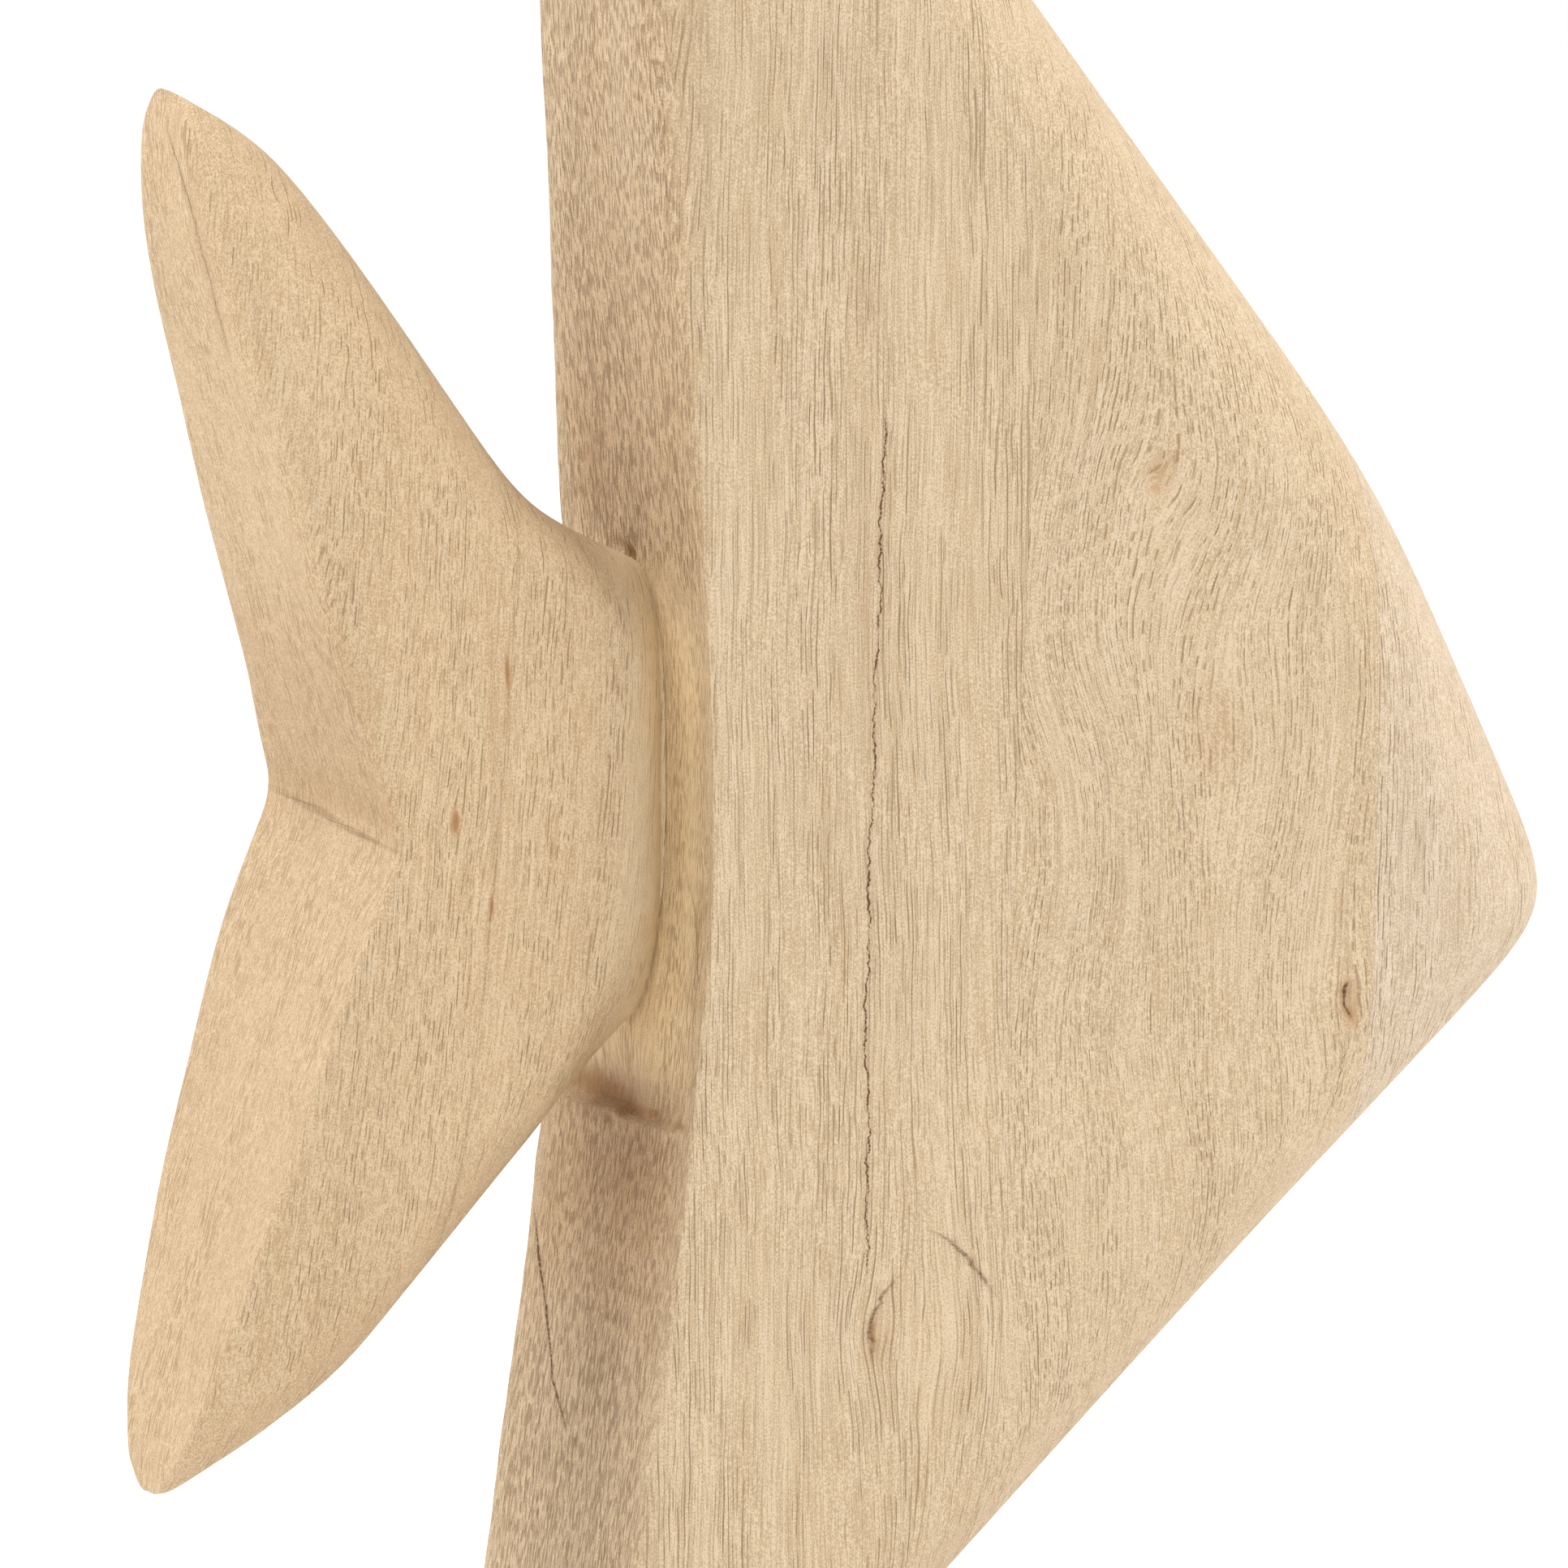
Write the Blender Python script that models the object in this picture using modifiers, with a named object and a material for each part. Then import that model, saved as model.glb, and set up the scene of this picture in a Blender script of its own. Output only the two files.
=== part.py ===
"""Carved angelfish ornament: edge-glued boards, doweled joints, and a rod stand.

Frame: +X is the nose, -X the tail, Y is the thickness, +Z is up. The origin is the
bottom centre of the bounding box, under the felt. Lengths are written in millimetres
in the fish frame (zero height at the tail notch) and leave here in metres.
"""

import math

import bmesh
import bpy
import numpy as np

# Driving dimensions (mm)
STOCK = 66.0                    # thickness of the glued-up blank
KERF = 0.3                      # clearance kept between neighbouring pieces
EDGE_ROUND = 30.0               # rounding of the two long front edges
FIN_TOP = 276.0                 # tip of the upper fin
FIN_BOTTOM = -246.0             # tip of the lower fin
TAIL_TOP = 146.5                # tip of the upper tail lobe
TAIL_BOTTOM = -130.5            # tip of the lower tail lobe
TIP_GAP = 18.0                  # air between the lower fin and the plinth
PLINTH = (220.0, 110.0, 28.0)   # length, width, height
FELT = 2.0                      # felt sheet under the plinth
ROD_RADIUS = 6.0
ROD_X = 10.0                    # rod under the centre of mass
ROD_BITE = 55.0                 # rod length inside the fish

FIN_SWELL = 1.8                 # extra half thickness left on the lower fin

# Sizes worked out from the driving ones
HALF = STOCK / 2.0
PLINTH_TOP = FIN_BOTTOM - TIP_GAP
FLOOR = PLINTH_TOP - PLINTH[2] - FELT
MIDDLE_X = 12.3                 # middle of the overall length, tail lobe to nose
TAIL_HALF = 30.5                # half thickness along the trailing edge
ROOT_HALF = 13.5                # half thickness where the tail meets the body
BODY_DOWEL = (5.0, 50.0)        # radius, length
NOSE_DOWEL = (5.0, 38.0)
TAIL_DOWEL = (4.0, 30.0)
ROOT_DOWEL = (5.0, 44.0)

# Outlines as straight runs: (height, x, blend at the corner)
FRONT_EDGE = ((-230.0, -45.5, 0.0), (-48.0, 145.5, 44.0), (-35.5, 169.0, 17.0),
              (-10.5, 153.5, 24.0), (54.0, 127.5, 25.0), (107.5, 85.5, 34.0),
              (230.0, -6.5, 0.0))
REAR_EDGE = ((-230.0, -60.0, 0.0), (-95.0, -40.5, 50.0), (-20.0, -26.0, 50.0),
             (60.0, -30.5, 50.0), (130.0, -42.0, 50.0), (230.0, -43.5, 0.0))
TRAILING_EDGE = ((-131.0, -140.0, 0.0), (-121.0, -138.0, 12.0), (-86.0, -128.5, 20.0),
                 (-47.0, -115.5, 20.0), (-22.0, -108.5, 14.0), (-2.0, -99.0, 2.5),
                 (3.0, -98.5, 2.5), (30.0, -107.5, 20.0), (80.0, -121.5, 24.0),
                 (124.0, -136.5, 20.0), (146.0, -135.5, 0.0))
LOBE_TOP = ((40.0, -18.5, 0.0), (46.0, -29.5, 8.0), (58.0, -59.5, 8.0),
            (68.0, -65.0, 12.0), (95.0, -83.0, 20.0), (122.0, -102.0, 12.0),
            (136.0, -112.0, 8.0), (148.0, -134.5, 0.0))
LOBE_BOTTOM = ((-131.0, -136.5, 0.0), (-119.0, -111.0, 8.0), (-107.0, -95.5, 8.0),
               (-97.0, -88.0, 8.0), (-70.0, -64.0, 20.0), (-45.0, -39.5, 8.0),
               (-35.0, -22.0, 0.0))

# Glue planes: (x at zero height, lean per millimetre of height)
GLUE_REAR = (35.2, 0.042)
GLUE_NOSE = (114.8, 0.030)
GLUE_TAIL = (-75.0, 0.107)


def blended(z, stations):
    """Straight runs through the stations with each corner rounded by its blend."""
    heights = [s[0] for s in stations]
    slopes = [(b[1] - a[1]) / (b[0] - a[0]) for a, b in zip(stations, stations[1:])]
    x = stations[0][1] + slopes[0] * (z - heights[0])
    for i in range(1, len(stations) - 1):
        t = z - heights[i]
        x = x + (slopes[i] - slopes[i - 1]) * 0.5 * (t + np.sqrt(t * t + stations[i][2] ** 2))
    return x


def ramp(t, start, end):
    """Smooth step from 0 at start to 1 at end."""
    u = np.clip((t - start) / (end - start), 0.0, 1.0)
    return u * u * (3.0 - 2.0 * u)


def quarter(t):
    """Height of a quarter circle, 0 at the edge and 1 from one radius inwards."""
    u = 1.0 - np.clip(t, 0.0, 1.0)
    return np.sqrt(np.clip(1.0 - u * u, 0.0, 1.0))


def cap(z, tip, length):
    """Falls from 1 to 0 as a quarter circle over the last length before a tip."""
    return quarter((tip - z) / length) if tip > 0.0 else quarter((z - tip) / length)


def plane_x(z, glue):
    """X of a glue plane at a height."""
    return glue[0] + glue[1] * z


def body_ends(z):
    """Rear and front x of the body at a height, drawn together at the fin tips."""
    rear = blended(z, REAR_EDGE)
    front = blended(z, FRONT_EDGE)
    width = front - rear
    lost = width * (1.0 - cap(z, FIN_TOP, 14.0) * cap(z, FIN_BOTTOM, 14.0))
    return rear + 0.3 * lost, front - 0.7 * lost


def body_half(x, z):
    """Half thickness of the body: flat stock with a full round on the front edges."""
    rear, front = body_ends(z)
    slope = (blended(z + 0.5, FRONT_EDGE) - blended(z - 0.5, FRONT_EDGE))
    reach = EDGE_ROUND * np.sqrt(1.0 + slope * slope)
    reach = np.minimum(reach, 0.85 * (front - rear) + 1e-6)
    thick = HALF * (1.0 - 0.3 * ramp(abs(z), 165.0, 275.0)) + FIN_SWELL * ramp(-z, 50.0, 80.0)
    thick = thick * cap(z, FIN_TOP, 16.0) * cap(z, FIN_BOTTOM, 16.0)
    corner = 1.0 + 10.0 * ramp(z, 50.0, 140.0) + 2.5 * ramp(-z, 75.0, 95.0)
    corner = np.minimum(corner, 0.12 * (front - rear) + 1e-6)
    corner = np.minimum(corner, 0.6 * thick + 1e-6)
    round_off = corner * (1.0 - quarter((x - rear) / corner))
    return np.maximum(thick * quarter((front - x) / reach) - round_off, 0.0)


def body_scoop(y, z):
    """Depth gouged into the rear face beside and below the tail root."""
    window = ramp(z, -64.5, -61.5) * (1.0 - ramp(z, 42.0, 47.0))
    beside = np.clip((abs(y) - ROOT_HALF) / (HALF - ROOT_HALF), 0.0, 1.0)
    below = (1.0 - ramp(z, -56.0, -47.0)) * np.clip((HALF - abs(y)) / 12.0, 0.0, 1.0)
    return 2.5 * window * np.maximum(np.sin(np.pi * beside), below)


def tail_ends(z):
    """Trailing and leading x of the tail at a height, leading edge free of the body."""
    back = blended(z, TRAILING_EDGE)
    lead = np.minimum(blended(z, LOBE_TOP), blended(z, LOBE_BOTTOM))
    lost = (lead - back) * (1.0 - cap(z, TAIL_TOP, 9.0) * cap(z, TAIL_BOTTOM, 7.0))
    return back + 0.4 * lost, lead - 0.6 * lost


def tail_half(x, z):
    """Half thickness of the tail: thick trailing edge, thin root, round outer edges."""
    back, lead = tail_ends(z)
    reach_top = blended(z, LOBE_TOP) - x
    reach_low = blended(z, LOBE_BOTTOM) - x
    inward = np.minimum(reach_top * 0.78, reach_low * 0.70)
    span = np.minimum(18.0, 0.7 * (lead - back) + 1e-6)
    tip = TAIL_TOP if z > 0.0 else TAIL_BOTTOM
    taper = max(1.0 - (z / tip) ** 2, 0.0) ** 0.42
    fall = 0.17 * np.maximum(x + 98.0, 0.0)
    roll = 6.0 * np.clip((x + 46.0) / 12.5, 0.0, 1.0) ** 2
    thick = (TAIL_HALF - fall - roll) * taper
    corner = 1.5 + 5.5 * ramp(z, 5.0, 30.0)
    corner = np.minimum(corner, 0.2 * (lead - back) + 1e-6)
    corner = np.minimum(corner, 0.6 * taper * TAIL_HALF + 1e-6)
    round_off = corner * (1.0 - quarter((x - back) / corner))
    return np.maximum(thick * quarter(inward / span) - round_off, 0.0)


def root_x(z):
    """X where the tail stops, one clearance short of the rear face of the body."""
    return blended(z, REAR_EDGE) - KERF


def new_object(name, bm, collection):
    """Turn a bmesh into a named object with outward faces."""
    bmesh.ops.recalc_face_normals(bm, faces=bm.faces[:])
    mesh = bpy.data.meshes.new(name)
    bm.to_mesh(mesh)
    bm.free()
    obj = bpy.data.objects.new(name, mesh)
    collection.objects.link(obj)
    return obj


def across(start, end, count, ease):
    """Positions from start to end, crowded towards the end where ease is 1."""
    t = np.linspace(0.0, 1.0, count)
    eased = np.sin(0.5 * np.pi * t)
    return start + (end - start) * ((1.0 - ease) * t + ease * eased)


def section(z, start, end, half, corner, scoop):
    """Closed loop of points round one board at one height."""
    first = start + corner * np.array([0.0, 0.3, 1.0])
    rest = across(first[-1], end, 10, 0.8)[1:]
    xs = np.concatenate([first[1:] if corner > 0.0 else first[:0], rest])
    face = float(half(start, z))
    tip = float(half(end, z))
    loop = []
    for y in np.linspace(face, -face, 7):
        loop.append((start + float(scoop(y, z)), y, z))
    for x in xs[:-1]:
        loop.append((x, -float(half(x, z)), z))
    for y in np.linspace(-tip, tip, 3):
        loop.append((end, y, z))
    for x in xs[:-1][::-1]:
        loop.append((x, float(half(x, z)), z))
    return loop


def loft(name, heights, limits, half, corner, scoop, collection):
    """Board made of horizontal sections, closed to a point at both ends."""
    bm = bmesh.new()
    rings = []
    for z in heights[1:-1]:
        start, end = limits(z)
        points = section(z, start, end, half, corner(z, start, end), scoop)
        rings.append([bm.verts.new(to_metres(p)) for p in points])
    for low, high in zip(rings, rings[1:]):
        for i in range(len(low)):
            j = (i + 1) % len(low)
            bm.faces.new((low[i], low[j], high[j], high[i]))
    for z, ring in ((heights[0], rings[0]), (heights[-1], rings[-1])):
        start, end = limits(z)
        pole = bm.verts.new(to_metres((0.5 * (start + end), 0.0, z)))
        for i in range(len(ring)):
            bm.faces.new((ring[i], ring[(i + 1) % len(ring)], pole))
    bmesh.ops.remove_doubles(bm, verts=bm.verts[:], dist=0.00005)
    bmesh.ops.dissolve_degenerate(bm, edges=bm.edges[:], dist=0.00002)
    bmesh.ops.triangulate(bm, faces=bm.faces[:])
    return new_object(name, bm, collection)


def to_metres(point):
    """Fish-frame millimetres to the part's metres."""
    x, y, z = point
    return ((x - MIDDLE_X) * 0.001, y * 0.001, (z - FLOOR) * 0.001)


def heights_between(low, high, count):
    """Heights crowded towards both ends."""
    t = np.linspace(0.0, 1.0, count)
    bunched = 0.5 - 0.5 * np.cos(np.pi * t)
    return low + (high - low) * (0.08 * t + 0.92 * bunched)


def open_range(limits, low, high):
    """Lowest and highest height at which a board still has some width."""
    zs = np.linspace(low, high, 4000)
    width = np.array([limits(z)[1] - limits(z)[0] for z in zs])
    inside = zs[width > 0.05]
    return float(inside.min()), float(inside.max())


def cylinder(name, radius, length, centre, along, collection, sides=24, chamfer=0.0):
    """Capped cylinder about X or Z, with chamfered rims if asked."""
    bpy.ops.mesh.primitive_cylinder_add(vertices=sides, radius=radius * 0.001,
                                        depth=length * 0.001)
    obj = bpy.context.active_object
    obj.name = name
    obj.data.name = name
    if along == "X":
        obj.rotation_euler = (0.0, math.pi / 2.0, 0.0)
    obj.location = to_metres(centre)
    move_to(obj, collection)
    bpy.ops.object.transform_apply(location=True, rotation=True, scale=True)
    if chamfer > 0.0:
        bevel = obj.modifiers.new("chamfer", "BEVEL")
        bevel.width = chamfer * 0.001
        bevel.segments = 1
        bevel.limit_method = "ANGLE"
        bevel.angle_limit = math.radians(60.0)
        apply_modifier(obj, bevel)
    return obj


def block(name, size, centre, rounding, segments, collection):
    """Rectangular block with rounded upright corners and eased rims."""
    bpy.ops.mesh.primitive_cube_add(size=1.0)
    obj = bpy.context.active_object
    obj.name = name
    obj.data.name = name
    obj.scale = (size[0] * 0.001, size[1] * 0.001, size[2] * 0.001)
    obj.location = to_metres(centre)
    move_to(obj, collection)
    bpy.ops.object.transform_apply(location=True, rotation=True, scale=True)
    bevel = obj.modifiers.new("easing", "BEVEL")
    bevel.width = rounding * 0.001
    bevel.segments = segments
    bevel.limit_method = "ANGLE"
    bevel.angle_limit = math.radians(60.0)
    apply_modifier(obj, bevel)
    return obj


def move_to(obj, collection):
    """Keep an object in one collection only."""
    for owner in list(obj.users_collection):
        owner.objects.unlink(obj)
    collection.objects.link(obj)
    bpy.context.view_layer.objects.active = obj
    obj.select_set(True)


def apply_modifier(obj, modifier):
    """Bake one modifier into the mesh."""
    bpy.context.view_layer.objects.active = obj
    bpy.ops.object.modifier_apply(modifier=modifier.name)


def bore(obj, cutter):
    """Cut a hole in an object."""
    cut = obj.modifiers.new("bore", "BOOLEAN")
    cut.operation = "DIFFERENCE"
    cut.solver = "EXACT"
    cut.object = cutter
    apply_modifier(obj, cut)


def material(name, colour, roughness, metallic=0.0):
    """Plain Principled material."""
    mat = bpy.data.materials.new(name)
    mat.use_nodes = True
    shader = mat.node_tree.nodes["Principled BSDF"]
    shader.inputs["Base Color"].default_value = (*colour, 1.0)
    shader.inputs["Roughness"].default_value = roughness
    shader.inputs["Metallic"].default_value = metallic
    return mat


def body_corner(z, start, end):
    """Rounding allowance of the rear corner used for spacing the points."""
    width = body_ends(z)[1] - body_ends(z)[0]
    wanted = 1.0 + 10.0 * float(ramp(z, 50.0, 140.0)) + 2.5 * float(ramp(-z, 75.0, 95.0))
    return min(wanted, 0.12 * width, 0.4 * (end - start))


def tail_corner(z, start, end):
    """Rounding allowance of the trailing corner used for spacing the points."""
    width = tail_ends(z)[1] - tail_ends(z)[0]
    return min(1.5 + 5.5 * float(ramp(z, 5.0, 30.0)), 0.2 * width, 0.4 * (end - start))


def no_corner(z, start, end):
    """Boards that start at a glue plane have a square edge there."""
    return 0.0


def no_scoop(y, z):
    """Flat starting face."""
    return 0.0


def build_boards(fish):
    """The three body boards and the two tail boards."""
    gap = KERF / 2.0

    def rear_limits(z):
        rear, front = body_ends(z)
        return rear, min(front, plane_x(z, GLUE_REAR) - gap)

    def middle_limits(z):
        front = body_ends(z)[1]
        return plane_x(z, GLUE_REAR) + gap, min(front, plane_x(z, GLUE_NOSE) - gap)

    def nose_limits(z):
        return plane_x(z, GLUE_NOSE) + gap, body_ends(z)[1]

    def outer_limits(z):
        back, lead = tail_ends(z)
        return back, min(lead, plane_x(z, GLUE_TAIL) - gap)

    def inner_limits(z):
        return plane_x(z, GLUE_TAIL) + gap, min(tail_ends(z)[1], root_x(z))

    plan = (
        ("body_rear_board", rear_limits, body_half, body_corner, body_scoop, 46,
         (FIN_BOTTOM, FIN_TOP)),
        ("body_middle_board", middle_limits, body_half, no_corner, no_scoop, 30,
         (-200.0, 220.0)),
        ("nose_board", nose_limits, body_half, no_corner, no_scoop, 22,
         (-120.0, 120.0)),
        ("tail_outer_board", outer_limits, tail_half, tail_corner, no_scoop, 44,
         (TAIL_BOTTOM, TAIL_TOP)),
        ("tail_inner_board", inner_limits, tail_half, no_corner, no_scoop, 26,
         (-115.0, 100.0)),
    )
    boards = {}
    for name, limits, half, corner, scoop, rows, reach in plan:
        low, high = open_range(limits, *reach)
        heights = heights_between(low, high, rows)
        boards[name] = loft(name, heights, limits, half, corner, scoop, fish)
    return boards


def build_dowels(boards, fish, cutters):
    """Hidden dowels across the glue joints, each in its own clearance bores."""
    rear = boards["body_rear_board"]
    middle = boards["body_middle_board"]
    nose = boards["nose_board"]
    outer = boards["tail_outer_board"]
    inner = boards["tail_inner_board"]
    plan = (
        ("body_rear_dowel_upper", GLUE_REAR, 70.0, BODY_DOWEL, rear, middle),
        ("body_rear_dowel_lower", GLUE_REAR, -70.0, BODY_DOWEL, rear, middle),
        ("nose_dowel_upper", GLUE_NOSE, 6.0, NOSE_DOWEL, middle, nose),
        ("nose_dowel_lower", GLUE_NOSE, -32.0, NOSE_DOWEL, middle, nose),
        ("tail_dowel_upper", GLUE_TAIL, 36.0, TAIL_DOWEL, outer, inner),
        ("tail_dowel_lower", GLUE_TAIL, -46.0, TAIL_DOWEL, outer, inner),
    )
    dowels = []
    for name, glue, z, (radius, length), left, right in plan:
        centre = (plane_x(z, glue), 0.0, z)
        dowels.append(fit_dowel(name, centre, radius, length, left, right, fish, cutters))
    for name, z in (("tail_root_dowel_upper", 18.0), ("tail_root_dowel_lower", -18.0)):
        centre = (float(root_x(z)) + KERF / 2.0, 0.0, z)
        radius, length = ROOT_DOWEL
        dowels.append(fit_dowel(name, centre, radius, length, inner, rear, fish, cutters))
    return dowels


def fit_dowel(name, centre, radius, length, left, right, fish, cutters):
    """One dowel and the pair of blind bores it sits in."""
    cutter = cylinder(name + "_bore", radius + KERF, length + 2.0, centre, "X", cutters, 24)
    bore(left, cutter)
    bore(right, cutter)
    return cylinder(name, radius, length, centre, "X", fish, 24, chamfer=1.0)


def lower_edge(x):
    """Height of the lower front edge above the plinth at a given x."""
    zs = np.linspace(FIN_BOTTOM, -40.0, 3000)
    front = np.array([body_ends(z)[1] for z in zs])
    return float(np.interp(x, front, zs))


def build_stand(boards, fish, cutters):
    """Plinth, rod, collar, washer, nut and felt."""
    length, width, height = PLINTH
    base_z = PLINTH_TOP - height
    recess = 11.0
    plinth = block("plinth", PLINTH, (ROD_X, 0.0, PLINTH_TOP - height / 2.0), 2.0, 2, fish)
    bore(plinth, cylinder("rod_hole", ROD_RADIUS + KERF, height + 10.0,
                          (ROD_X, 0.0, PLINTH_TOP - height / 2.0), "Z", cutters, 32))
    bore(plinth, cylinder("nut_recess", 17.0, recess * 2.0, (ROD_X, 0.0, base_z), "Z",
                          cutters, 32))
    rod_top = lower_edge(ROD_X) + ROD_BITE
    rod_bottom = base_z + 1.0
    rod = cylinder("stand_rod", ROD_RADIUS, rod_top - rod_bottom,
                   (ROD_X, 0.0, 0.5 * (rod_top + rod_bottom)), "Z", fish, 32, chamfer=0.8)
    bottom = lower_edge(ROD_X) - 40.0
    socket_top = rod_top + KERF
    bore(boards["body_rear_board"],
         cylinder("rod_socket", ROD_RADIUS + KERF, socket_top - bottom,
                  (ROD_X, 0.0, 0.5 * (socket_top + bottom)), "Z", cutters, 32))
    washer_z = base_z + recess - KERF - 0.8
    washer = ring("rod_washer", ROD_RADIUS + KERF, 15.0, 1.6, (ROD_X, 0.0, washer_z), 32,
                  fish, cutters)
    nut_z = washer_z - 0.8 - KERF - 3.0
    nut = ring("rod_nut", ROD_RADIUS + KERF, 10.4, 6.0, (ROD_X, 0.0, nut_z), 6, fish, cutters)
    collar = ring("rod_collar", ROD_RADIUS + KERF, 12.0, 6.0,
                  (ROD_X, 0.0, PLINTH_TOP + KERF + 3.0), 32, fish, cutters)
    felt = block("felt_sheet", (length - 6.0, width - 6.0, FELT - KERF),
                 (ROD_X, 0.0, FLOOR + (FELT - KERF) / 2.0), 0.5, 1, fish)
    return plinth, rod, collar, washer, nut, felt


def ring(name, inner, outer, thickness, centre, sides, fish, cutters):
    """Flat ring or nut: a short prism with a round hole."""
    obj = cylinder(name, outer, thickness, centre, "Z", fish, sides)
    bore(obj, cylinder(name + "_hole", inner, thickness + 4.0, centre, "Z", cutters, 32))
    return obj


def main():
    """Clear the scene and build every piece."""
    for obj in list(bpy.data.objects):
        bpy.data.objects.remove(obj, do_unlink=True)
    scene = bpy.context.scene
    fish = bpy.data.collections.new("carved_angelfish")
    cutters = bpy.data.collections.new("cutters")
    scene.collection.children.link(fish)
    scene.collection.children.link(cutters)
    boards = build_boards(fish)
    dowels = build_dowels(boards, fish, cutters)
    plinth, rod, collar, washer, nut, felt = build_stand(boards, fish, cutters)
    timber = ((0.62, 0.47, 0.29), (0.66, 0.51, 0.33), (0.64, 0.49, 0.31),
              (0.65, 0.50, 0.33), (0.63, 0.48, 0.30))
    for obj, colour in zip(boards.values(), timber):
        obj.data.materials.append(material(obj.name + "_wood", colour, 0.75))
    for obj in dowels:
        obj.data.materials.append(material(obj.name + "_beech", (0.60, 0.42, 0.25), 0.7))
    plinth.data.materials.append(material("plinth_wood", (0.60, 0.45, 0.28), 0.75))
    rod.data.materials.append(material("rod_black_steel", (0.03, 0.03, 0.03), 0.45, 1.0))
    collar.data.materials.append(material("collar_black_steel", (0.03, 0.03, 0.03), 0.45, 1.0))
    washer.data.materials.append(material("washer_steel", (0.55, 0.55, 0.55), 0.35, 1.0))
    nut.data.materials.append(material("nut_steel", (0.55, 0.55, 0.55), 0.35, 1.0))
    felt.data.materials.append(material("felt_grey", (0.10, 0.10, 0.10), 0.95))
    for cutter in cutters.objects:
        cutter.hide_render = True
        cutter.display_type = "WIRE"


main()
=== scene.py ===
"""Looks of the carved angelfish: refined boards in bare wood, its stand, and a plain studio.

Shapes are written in millimetres in the fish frame, whose zero height is the tail notch,
and leave through to_row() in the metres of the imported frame.
"""

import logging
import math
from dataclasses import dataclass, field, replace
from enum import Enum
from typing import Callable, Optional, Sequence, Union

import bmesh
import bpy
import numpy as np
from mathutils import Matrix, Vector


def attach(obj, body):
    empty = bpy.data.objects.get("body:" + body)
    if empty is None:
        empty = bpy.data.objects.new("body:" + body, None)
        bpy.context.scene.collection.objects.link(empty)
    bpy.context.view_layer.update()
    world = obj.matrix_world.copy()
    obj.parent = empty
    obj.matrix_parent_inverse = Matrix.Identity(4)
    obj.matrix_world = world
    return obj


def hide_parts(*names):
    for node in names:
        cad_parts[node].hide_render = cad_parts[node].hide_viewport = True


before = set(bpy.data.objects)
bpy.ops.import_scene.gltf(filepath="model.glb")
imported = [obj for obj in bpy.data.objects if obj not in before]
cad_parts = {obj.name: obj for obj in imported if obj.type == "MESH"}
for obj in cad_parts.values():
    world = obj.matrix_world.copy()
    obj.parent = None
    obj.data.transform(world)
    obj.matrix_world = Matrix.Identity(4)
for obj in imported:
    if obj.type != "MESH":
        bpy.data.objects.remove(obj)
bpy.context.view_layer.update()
LOG = logging.getLogger("angelfish")

MIDDLE_X = 12.3         # fish-frame x that lies over the origin
FLOOR = -294.0          # fish-frame height of the surface the stand rests on
JOINT_LINE = 0.02       # half width of a glued joint in the finished wood
BODY_HALF = 33.0        # half thickness of the body blank
Array = np.ndarray
Colour = tuple[int, int, int]
Station = tuple[float, float, float]


class Face(Enum):
    """Which face of the fish a feature lies on."""

    FRONT = "front"
    BACK = "back"
    TAIL_SIDE = "tail_side"
    HOLLOW = "hollow"             # the body's tail side with the walls of its gouged hollow


def to_row(points: Array) -> Array:
    """Fish-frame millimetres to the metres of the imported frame."""
    return (points - np.array([MIDDLE_X, 0.0, FLOOR])) * 0.001


def ramp(t: Array, start: float, end: float) -> Array:
    """Smooth step from 0 at start to 1 at end."""
    u = np.clip((t - start) / (end - start), 0.0, 1.0)
    return u * u * (3.0 - 2.0 * u)


def quarter(t: Array) -> Array:
    """Height of a quarter circle, 0 at the edge and 1 from one radius inwards."""
    u = 1.0 - np.clip(t, 0.0, 1.0)
    return np.sqrt(np.clip(1.0 - u * u, 0.0, 1.0))


def bump_at(x: Array, z: Array, centre: tuple[float, float], reach: float) -> Array:
    """Soft round hill of height 1 at a centre, exp(-(r / reach)^2)."""
    return np.exp(-((x - centre[0]) ** 2 + (z - centre[1]) ** 2) / reach ** 2)


def waver(t: Array) -> Array:
    """Hand-torn wander of a crack along the grain: three sines of falling length."""
    return 0.30 * np.sin(t / 5.3 + 0.5) + 0.20 * np.sin(t / 1.7 + 2.0) + 0.14 * np.sin(t / 0.61)


@dataclass(frozen=True)
class Edge:
    """Outline drawn as straight runs between (height, x, blend) stations."""

    stations: tuple[Station, ...]

    def x(self, z: Array) -> Array:
        """X of the outline: straight runs, each corner rounded as a hyperbola by its blend.

        Args:
            z: heights.

        Returns:
            X at each height.
        """
        at = self.stations
        slopes = [(b[1] - a[1]) / (b[0] - a[0]) for a, b in zip(at, at[1:])]
        x = at[0][1] + slopes[0] * (z - at[0][0])
        for i in range(1, len(at) - 1):
            t = z - at[i][0]
            x = x + (slopes[i] - slopes[i - 1]) * 0.5 * (t + np.sqrt(t * t + at[i][2] ** 2))
        return x


@dataclass(frozen=True)
class GluePlane:
    """Upright glued joint: its x at zero height and its lean per millimetre."""

    x0: float
    lean: float

    def x(self, z: Array) -> Array:
        """X of the plane at a height."""
        return self.x0 + self.lean * z


@dataclass(frozen=True)
class Check:
    """Crack or dark growth line that follows the grain on one face, or a band of painted shade
    along a crease.
    """

    line: tuple[tuple[float, float], ...]     # (height, x or y), from low to high
    face: Face = Face.FRONT
    width: float = 0.22
    strength: float = 1.0
    broken: float = 0.35                      # how much of its length closes up
    waver: float = 1.0
    halo: float = 0.12                        # faint stain beside it

    def x(self, z: Array) -> Array:
        """X of the crack at a height: straight runs between its points plus waver()."""
        heights = np.array([p[0] for p in self.line])
        xs = np.array([p[1] for p in self.line])
        return np.interp(z, heights, xs) + waver(z)


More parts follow.
